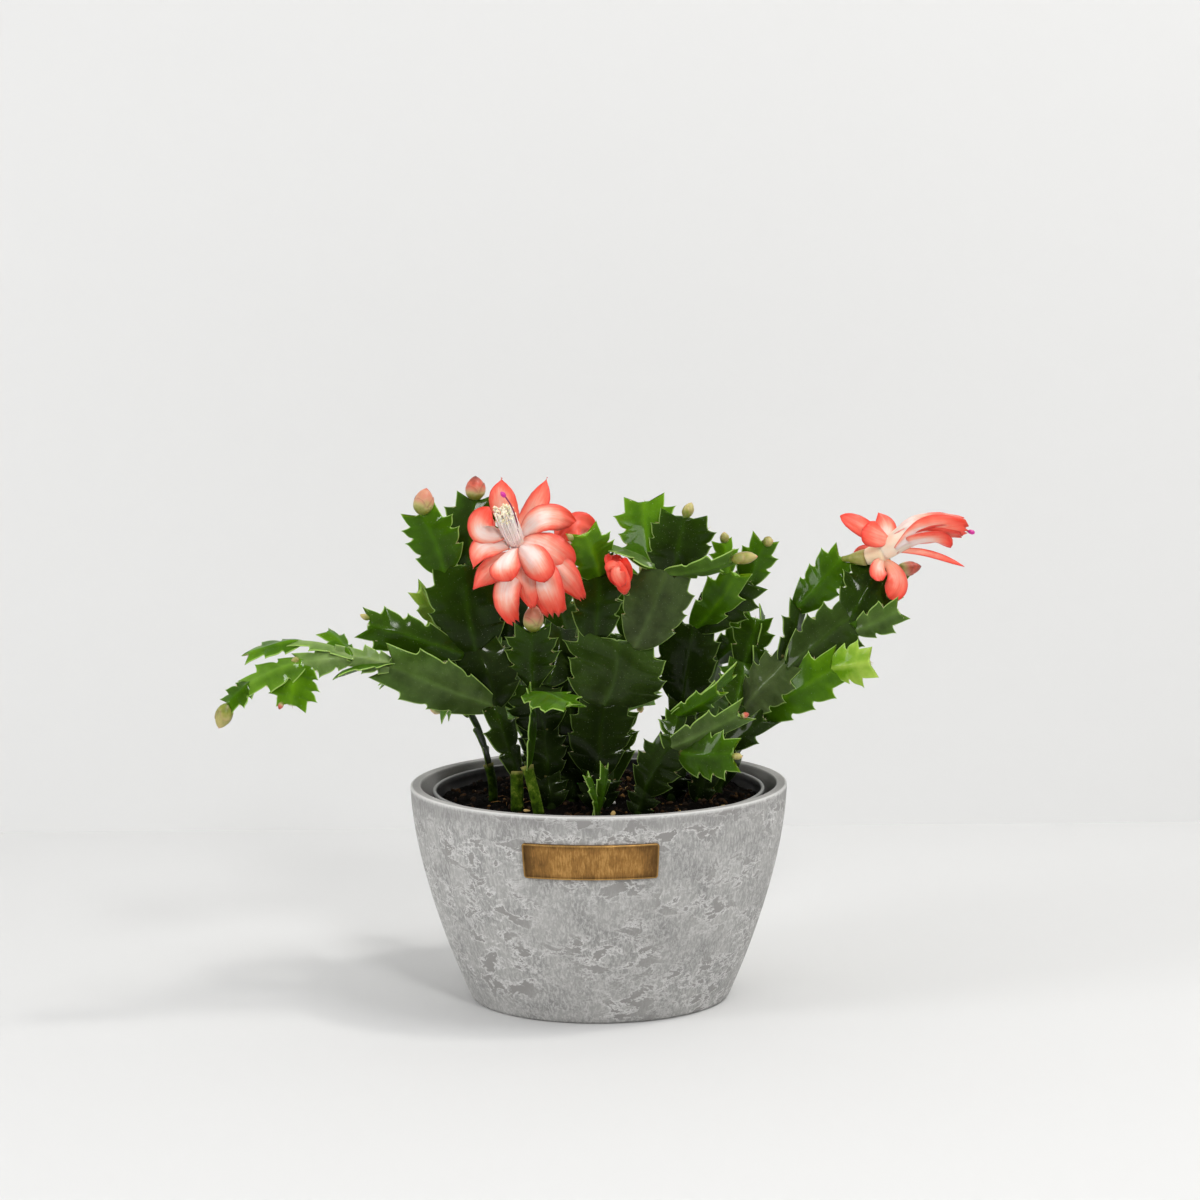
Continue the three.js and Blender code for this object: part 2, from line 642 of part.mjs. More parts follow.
// One flat stem segment: a toothed blade, thickest at its rib, arched and slightly keeled
function leafBlade(leaf) {
  const { base, tip, width, axes } = leaf;
  const slim = width <= SLIM_WIDTH;
  const rib = slim ? SLIM_RIB : BROAD_RIB;
  const side = slim ? SLIM_SIDE : BROAD_SIDE;
  const length = base.distanceTo(tip);
  const points = [];
  const place = (share, reach, face, sharp) => {
    const lift = ARCH * length * 4 * share * (1 - share) - KEEL * Math.abs(reach) * width / 2;
    const ribThick = share === 0 ? NECK_THICK : RIB_THICK;
    const thick = sharp ? 0 : THREE.MathUtils.lerp(ribThick, EDGE_THICK, Math.abs(reach));
    points.push(base.clone()
      .addScaledVector(axes.along, share * length)
      .addScaledVector(axes.across, reach * width / 2)
      .addScaledVector(axes.out, lift + face * thick / 2));
  };
  for (const face of [1, -1]) {
    rib.forEach((share) => place(share, 0, face, false));
    side.forEach(([share, reach, , sharp]) => place(share, reach, face, sharp));
    side.forEach(([share, reach, , sharp]) => place(share, -reach, face, sharp));
  }
  const ribs = rib.length;
  const count = side.length;
  const layer = ribs + 2 * count;
  const triangles = [];
  const both = (a, b, c) => triangles.push(a, b, c, layer + a, layer + c, layer + b);
  for (let j = 0; j < count; j += 1) {
    const from = j === 0 ? 0 : side[j - 1][2];
    const to = side[j][2];
    const [right, left] = [ribs + j, ribs + count + j];
    if (to !== from) {
      both(from, right, to);
      both(from, to, left);
    }
    if (j + 1 < count) {
      both(to, right, right + 1);
      both(to, left + 1, left);
    } else {
      both(to, right, ribs - 1);
      both(to, ribs - 1, left);
    }
  }
  const loop = [0];
  for (let j = 0; j < count; j += 1) {
    loop.push(ribs + j);
  }
  loop.push(ribs - 1);
  for (let j = count - 1; j >= 0; j -= 1) {
    loop.push(ribs + count + j);
  }
  loop.forEach((a, i) => {
    const b = loop[(i + 1) % loop.length];
    triangles.push(a, layer + a, b, b, layer + a, layer + b);
  });
  return meshFrom(points, triangles);
}

// Works out every leaf of a stem from the end of the one that it grows from
function growLeaves(stem) {
  const soilTop = POT_FLOOR + GAP + GROW_HEIGHT - SOIL_DROP;
  const foot = new THREE.Vector3(stem.foot[0], stem.foot[1], soilTop + FOOT_RISE);
  const grown = { foot: { end: foot } };
  for (const [name, parent, place, width, turn, fork = 0] of stem.leaves) {
    const from = grown[parent];
    const tip = vector(place);
    const base = from.end.clone();
    if (from.axes) {
      base.addScaledVector(from.axes.across, fork * FORK_SPREAD * from.width);
    }
    base.addScaledVector(tip.clone().sub(base).normalize(), -ROOT_SUNK);
    const axes = leafAxes(base, tip, turn);
    const rib = width <= SLIM_WIDTH ? SLIM_RIB : BROAD_RIB;
    const end = base.clone().lerp(tip, rib[rib.length - 1]);
    grown[name] = { base, tip, width, axes, end };
  }
  return grown;
}

// Rows for a spindle, with their radii multiplied
function scaled(rows, factor) {
  return rows.map(([radius, share]) => [factor * radius, share]);
}

// Root end of a stem, which stands in its hole in the soil
function footPost(stem) {
  const soilTop = POT_FLOOR + GAP + GROW_HEIGHT - SOIL_DROP;
  const low = new THREE.Vector3(stem.foot[0], stem.foot[1], soilTop - FOOT_DEPTH + 2 * GAP);
  const high = new THREE.Vector3(stem.foot[0], stem.foot[1], soilTop + FOOT_RISE);
  return spindle(low, high, scaled(FOOT_ROWS, FOOT_RADIUS), FOOT_SIDES);
}

// A closed bud: a pointed oval on the end of a leaf
function budShape(from, to, width) {
  return spindle(from, to, scaled(BUD_ROWS, width / 2), BUD_SIDES);
}

// A petal from its root to its tip, bowed towards the way that the bloom faces
function petal(root, tip, width, facing, bow) {
  const middle = root.clone().lerp(tip, 0.5).addScaledVector(facing, 2 * bow);
  const curve = new THREE.QuadraticBezierCurve3(root, middle, tip);
  const points = [];
  for (const face of [1, -1]) {
    for (const [share, reach] of PETAL_STATIONS) {
      const centre = curve.getPoint(share);
      const along = curve.getTangent(share);
      const across = new THREE.Vector3().crossVectors(along, facing).normalize();
      const out = new THREE.Vector3().crossVectors(across, along).normalize();
      for (const place of [-1, 0, 1]) {
        const side = place * reach * width / 2;
        points.push(centre.clone()
          .addScaledVector(across, side)
          .addScaledVector(out, (face * PETAL_THICK) / 2 - PETAL_CUP * Math.abs(side)));
      }
    }
  }
  const stations = PETAL_STATIONS.length;
  const layer = 3 * stations;
  const triangles = [];
  const both = (a, b, c) => triangles.push(a, b, c, layer + a, layer + c, layer + b);
  for (let j = 0; j + 1 < stations; j += 1) {
    for (let i = 0; i < 2; i += 1) {
      const a = 3 * j + i;
      both(a, a + 1, a + 4);
      both(a, a + 4, a + 3);
    }
  }
  const loop = [0, 1, 2];
  for (let j = 1; j < stations; j += 1) {
    loop.push(3 * j + 2);
  }
  loop.push(layer - 2);
  for (let j = stations - 1; j > 0; j -= 1) {
    loop.push(3 * j);
  }
  loop.forEach((a, i) => {
    const b = loop[(i + 1) % loop.length];
    triangles.push(a, layer + a, b, b, layer + a, layer + b);
  });
  return meshFrom(points, triangles);
}

// Petals around a centre, each rooted on a small ring of the bloom's tube
function petalRing(centre, rows, facing, { ring, bow }) {
  return rows.map(([place, width]) => {
    const tip = vector(place);
    const outward = tip.clone().sub(centre);
    outward.addScaledVector(facing, -outward.dot(facing)).normalize();
    const root = centre.clone().addScaledVector(outward, ring);
    return petal(root, tip, width, facing, bow);
  });
}

// The large open bloom: tube, two rings of petals, stamens and style
function leftBloom(seat) {
  const throat = vector(LEFT_THROAT);
  const waist = vector(LEFT_WAIST);
  const stamenTip = vector(LEFT_STAMEN_TIP);
  const stigma = vector(LEFT_STIGMA);
  const from = seat.end.clone().addScaledVector(seat.axes.along, SEAT_GAP);
  const flower = fuse([
    spindle(from, waist, LEFT_STALK_ROWS, TUBE_SIDES),
    spindle(waist, throat, LEFT_THROAT_ROWS, TUBE_SIDES),
    ...petalRing(waist, LEFT_WAIST_PETALS, LEFT_FACING, LEFT_WAIST_RING),
    ...petalRing(throat, LEFT_MOUTH_PETALS, LEFT_FACING, LEFT_MOUTH_RING),
  ]);
  const start = throat.clone().add(LEFT_FACING);
  const well = spindle(start, stamenTip, STAMEN_WELL_ROWS, STAMEN_SIDES);
  const stamens = spindle(start, stamenTip, STAMEN_ROWS, STAMEN_SIDES);
  const styleFrom = start.clone().lerp(stamenTip, STYLE_START).add(vector(LEFT_STYLE_OFFSET));
  const channel = spindle(styleFrom, stigma, LEFT_CHANNEL_ROWS, STYLE_SIDES);
  const style = spindle(styleFrom, stigma, LEFT_STYLE_ROWS, STYLE_SIDES);
  addPiece("left_bloom_petals", geometryOf(flower.subtract(solidOf(well))), "petal");
  addPiece("left_bloom_stamens", geometryOf(solidOf(stamens).subtract(solidOf(channel))), "stamen");
  addPiece("left_bloom_style", style, "stigma");
}

// The bloom at the right, held out sideways with its last petals still furled
function rightBloom(seat) {
  const waist = vector(RIGHT_WAIST);
  const mouth = vector(RIGHT_MOUTH);
  const stigma = vector(RIGHT_STIGMA);
  const from = seat.end.clone().addScaledVector(seat.axes.along, SEAT_GAP);
  const ovaryEnd = from.clone().lerp(waist, OVARY_SHARE);
  const calyx = ovaryEnd.clone().lerp(waist, CALYX_START);
  const longSeat = waist.clone().lerp(mouth, LONG_PETAL_SEAT);
  const furledSeat = waist.clone().lerp(mouth, FURLED_SEAT);
  const flower = fuse([
    spindle(calyx, waist, RIGHT_CALYX_ROWS, TUBE_SIDES),
    spindle(waist, mouth, RIGHT_TUBE_ROWS, TUBE_SIDES),
    ...petalRing(waist, RIGHT_BACK_PETALS, RIGHT_FACING, RIGHT_BACK_RING),
    ...petalRing(longSeat, [RIGHT_LONG_PETAL], RIGHT_FACING, RIGHT_LONG_RING),
    ...petalRing(furledSeat, RIGHT_FURLED_PETALS, RIGHT_FACING, RIGHT_FURLED_RING),
  ]);
  const styleFrom = mouth.clone().lerp(stigma, RIGHT_STYLE_START);
  const channel = spindle(styleFrom, stigma, RIGHT_CHANNEL_ROWS, STYLE_SIDES);
  addPiece("right_bloom_ovary", spindle(from, ovaryEnd, OVARY_ROWS, BUD_SIDES), "ovary");
  addPiece("right_bloom_petals", geometryOf(flower.subtract(solidOf(channel))), "petal");
  addPiece("right_bloom_style", spindle(styleFrom, stigma, RIGHT_STYLE_ROWS, STYLE_SIDES), "stigma");
}

function openingBud() {
  const base = vector(OPENING_BASE);
  const tip = vector(OPENING_TIP);
  const facing = tip.clone().sub(base).normalize();
  const waist = base.clone().lerp(tip, OPENING_WAIST);
  return geometryOf(fuse([
    budShape(base, tip, OPENING_WIDTH),
    ...petalRing(waist, OPENING_PETALS, facing, OPENING_RING),
  ]));
}

addPiece("outer_pot", closed(outerPot()), "pot");
addPiece("nameplate", plate(), "plate");
addPiece("grow_pot", growPot(), "grow");
addPiece("soil", soil(Object.values(STEMS).map((stem) => stem.foot)), "soil");

const grownStems = {};
for (const [name, stem] of Object.entries(STEMS)) {
  const grown = growLeaves(stem);
  grownStems[name] = grown;
  const blades = Object.values(grown).filter((leaf) => leaf.axes).map(leafBlade);
  addPiece(name, geometryOf(fuse([footPost(stem), ...blades])), "leaf");
}

for (const [name, stem, leaf, tip, width] of BUDS) {
  const seat = grownStems[stem][leaf];
  const from = seat.end.clone().addScaledVector(seat.axes.along, SEAT_GAP);
  addPiece(name, closed(budShape(from, vector(tip), width)), "bud");
}

leftBloom(grownStems.centre_stem.lying);
rightBloom(grownStems.right_stem.blossom);
addPiece("opening_bud", openingBud(), "petal");

export default plant;
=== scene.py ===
# Looks of a potted Christmas cactus in flower: leafy stems in a thin grow pot of potting mix, inside a round
# outer pot of faux stone with a bare brass plate. Numbers are millimetres, with +Z up, -Y at the front and
# the origin at the centre of the outer pot's base. Blender gets them in metres.
import math

import bpy
import numpy as np
from mathutils import Matrix, Vector


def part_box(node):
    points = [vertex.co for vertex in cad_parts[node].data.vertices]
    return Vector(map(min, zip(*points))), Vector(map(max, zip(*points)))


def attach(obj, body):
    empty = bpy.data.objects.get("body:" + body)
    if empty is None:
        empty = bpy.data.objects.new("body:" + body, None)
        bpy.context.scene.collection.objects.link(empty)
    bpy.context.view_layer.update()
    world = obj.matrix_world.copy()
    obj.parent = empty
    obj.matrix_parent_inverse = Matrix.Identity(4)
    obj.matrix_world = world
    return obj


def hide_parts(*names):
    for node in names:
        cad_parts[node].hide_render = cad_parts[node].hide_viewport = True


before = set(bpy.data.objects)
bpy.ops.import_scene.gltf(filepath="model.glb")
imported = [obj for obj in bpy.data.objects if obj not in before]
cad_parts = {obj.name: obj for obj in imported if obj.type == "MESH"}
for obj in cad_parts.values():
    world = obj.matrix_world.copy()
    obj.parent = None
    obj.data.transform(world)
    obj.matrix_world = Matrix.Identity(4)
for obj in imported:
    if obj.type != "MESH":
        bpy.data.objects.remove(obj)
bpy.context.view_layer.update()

MM = 0.001
SEED = 20

# Paint of a plain point, of one inside the outer pot and of one on the grow pot's lip, which carries a
# painted highlight
PLAIN = (0, 0, 0, 0)
INSIDE = (0, 0, 1, 0)
LIP_HIGHLIGHT = (0.9, 0, 0, 0)
# Tint of the shine on green skin
GREEN_GLOSS = "#9CC84A"

# Where the photograph was taken from, in millimetres and degrees, with its lens, and how far its wall and
# floor reach
CAMERA_PLACE = (1.4, -1632, 400.7)
CAMERA_DOWN = 7.4
CAMERA_ROLL = -0.5
CAMERA_LENS = 105
CAMERA_SENSOR = 36
CAMERA_REACH = 20000
WALL_BEHIND = 408
STAGE_REACH = 4000

# Studio lights: name, place, what they point at, size, power in watts, tint
LIGHTS = [
    ("overhead_softbox", (890, -140, 1750), (0, 0, 100), 260, 7.5, "#FFFDF8"),
    ("front_softbox", (430, -1500, 1150), (0, 0, 100), 260, 10, "#FFFFFF"),
    ("side_softbox", (-1400, -700, 700), (0, 0, 80), 500, 8, "#FFFFFF"),
    ("wall_softbox", (900, -500, 2000), (250, WALL_BEHIND, 450), 700, 11, "#FFFFFF"),
]

# Outer pot's side: height, radius, as in the part
POT_SIDE = [
    (0, 61), (9.8, 65.3), (23.3, 70.8), (37, 75.6), (53, 80.5),
    (66.4, 84.1), (79, 86.5), (91, 88.3), (102, 89),
]
POT_CURVE = np.polyfit(*zip(*POT_SIDE), 4)
POT_WALL = 5
POT_FLOOR = 7
POT_SIDES = 192
POT_ROWS_OUTSIDE = 90
POT_ROWS_INSIDE = 24
LIP_ROUND = 0.7
# The outer pot's foot: how far inside its lowest radius each row lies, and at what height
POT_FOOT_ROWS = [(2.2, 0.6), (1.4, 0), (0.5, 0.25)]

PLATE_WIDTH = 62
PLATE_HEIGHT = 16.5
PLATE_MIDDLE = 81
PLATE_OFFSET = -4
PLATE_THICK = 1.1
PLATE_RISE = 0.6
PLATE_SUNK = 0.6
PLATE_CORNER = 1.4
# The plate's mesh inside its border: how far in it starts, and its steps across and up
PLATE_INNER = 3.6
PLATE_STEPS = (70, 14)
# The plate's face from its edge inwards: inset, rise as a share of the border's, painted highlight, painted
# shade
PLATE_PROFILE = [
    (0, 0.35, 0.1, 0.2), (0.2, 0.85, 0.25, 0.1), (0.4, 1, 0.3, 0.05), (0.6, 1, 0.25, 0.05),
    (0.8, 0.85, 0.1, 0.1), (1.1, 0.6, 0, 0.2), (1.6, 0.5, 0, 0.15), (2.6, 0.45, 0, 0.08),
    (4.5, 0.42, 0, 0.03), (9, 0.4, 0, 0),
]

GROW_WALL = 1.2
GROW_BASE_RADIUS = 54
GROW_BAND = 11
GROW_BAND_STEP = 2.4
GROW_SIDES = 160
# The grow pot's rolled lip: how far beyond its rim's radius and above its top each row lies
GROW_LIP_ROWS = [
    (-0.3, -2.4), (0, -1.9), (0.3, -1.2), (0.15, -0.4), (-0.45, 0), (-1.1, -0.15), (-1.5, -0.8), (-1.5, -3),
]

# Potting mix: how far its top lies below the grow pot's, its mesh, how far apart its bumps are and how
# rough it is, and what is strewn on it
SOIL_BELOW_RIM = 6
SOIL_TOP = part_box("grow_pot")[1].z / MM - SOIL_BELOW_RIM
SOIL_RINGS = 56
SOIL_SIDES = 176
WIDE_BUMP_X, WIDE_BUMP_Y = 30, 37
SMALL_BUMP_X, SMALL_BUMP_Y = 20, 15
WIDE_BUMP = 1.2
SMALL_BUMP = 0.6
CRUMB = 0.38
SOIL_BITS = 760
EVERY_PERLITE = 47
EVERY_FIBRE = 4
EVERY_LARGE = 11
FOOT_CLEAR = 4
FIBRE_LENGTH = (2.5, 7)
FIBRE_RADII = (0.22, 0.25, 0.12)
CHIP_BULGE = (0.72, 1.15)
BARK_TONES = (0.05, 0.15, 0.3, 0.5, 0.85)
BARK_SHARES = (0.36, 0.34, 0.18, 0.08, 0.04)

# Thicknesses of a fine leaf, and how it is bent
RIB_THICK = 2.3
EDGE_THICK = 0.5
EDGE_ROUND = 0.22
NECK_HALF = 2.2
SLIM_WIDTH = 15
BROAD_WIDTH = 19
WIDE_WIDTH = 26
WOODY_WIDTH = 10
ROOT_SUNK = 2
FORK_SPREAD = 0.28
ARCH = 0.05
KEEL = 0.12
WAVE = 0.045
TOOTH_BEND = 0.45
TOOTH_BEND_ROWS = 3.5
SWAY = 0.035
RIB_RISE = 0.35
RIB_HALF = 1.2
FACING = np.array([0, -1, 0.35]) / math.hypot(1, 0.35)
# How far apart two leaves lie in their pattern, so that no two look alike
LEAF_SPACING = 7
# The seat of a leaf on the next, and old wood: length, thickness as a share of width, share of cork, and
# radius as a share of the segment's width
COLLAR_LENGTH = 4
COLLAR_FLAT = 0.62
JOINT_CORK = 0.45
WOODY_RADIUS = 0.3
WOODY_FLAT = 0.72
# Bristles at the notches
HAIR_LENGTH = (1, 2.2)
HAIR_RADII = (0.13, 0.1, 0.03)
# The foot of a stem: how far it starts above the potting mix, then the rows of its stump
FOOT_RISE = 3
FOOT_HEIGHTS = (-9, -3, 1.5)
FOOT_RADII = (2.6, 2.4, 1.4)

# Half outline of a leaf: place along it, reach to the side, place on its rib, and the kind of corner
WIDE_CORNERS = [
    (0.31, 0.95, 0.25, "tooth"), (0.35, 0.86, 0.31, "notch"), (0.54, 1.07, 0.46, "tooth"),
    (0.58, 0.92, 0.54, "notch"), (0.78, 1.06, 0.69, "tooth"), (0.815, 0.82, 0.76, "notch"),
    (1.04, 0.72, 0.91, "tooth"), (0.965, 0.36, 0.945, "notch"), (0.97, 0.04, 0.955, "end"),
]
BROAD_CORNERS = [
    (0.37, 1, 0.3, "tooth"), (0.42, 0.8, 0.37, "notch"), (0.6, 1.12, 0.52, "tooth"),
    (0.645, 0.8, 0.59, "notch"), (0.82, 1.1, 0.74, "tooth"), (0.85, 0.7, 0.8, "notch"),
    (1.06, 0.7, 0.92, "tooth"), (0.965, 0.34, 0.945, "notch"), (0.97, 0.04, 0.955, "end"),
]
MIDDLE_CORNERS = [
    (0.42, 1, 0.35, "tooth"), (0.47, 0.76, 0.42, "notch"), (0.73, 1.14, 0.64, "tooth"),
    (0.765, 0.7, 0.71, "notch"), (1.07, 0.74, 0.92, "tooth"), (0.96, 0.34, 0.945, "notch"),
    (0.965, 0.04, 0.955, "end"),
]
SLIM_CORNERS = [
    (0.33, 0.94, 0.27, "tooth"), (0.38, 0.66, 0.34, "notch"), (0.68, 1.14, 0.6, "tooth"),
    (0.72, 0.62, 0.67, "notch"), (1.06, 0.78, 0.91, "tooth"), (0.945, 0.34, 0.93, "notch"),
    (0.955, 0.04, 0.95, "end"),
]
# How far across the half leaf its mesh lines lie, close at the rib. The last but one bounds the pale edge of
# painted rim light
ACROSS = np.array([0, 0.07, 0.15, 0.32, 0.54, 0.76, 0.93, 1])
RIM_BAND = 0.5
# How much further the claws of the teeth reach, along the leaf and to its side
CLAW = (0.012, 0.05)
# The notch behind a leaf's last tooth is the one that reaches less far than this
LAST_NOTCH_REACH = 0.6
RISE_STEPS = 8
FALL_STEPS = 5
END_STEPS = 3
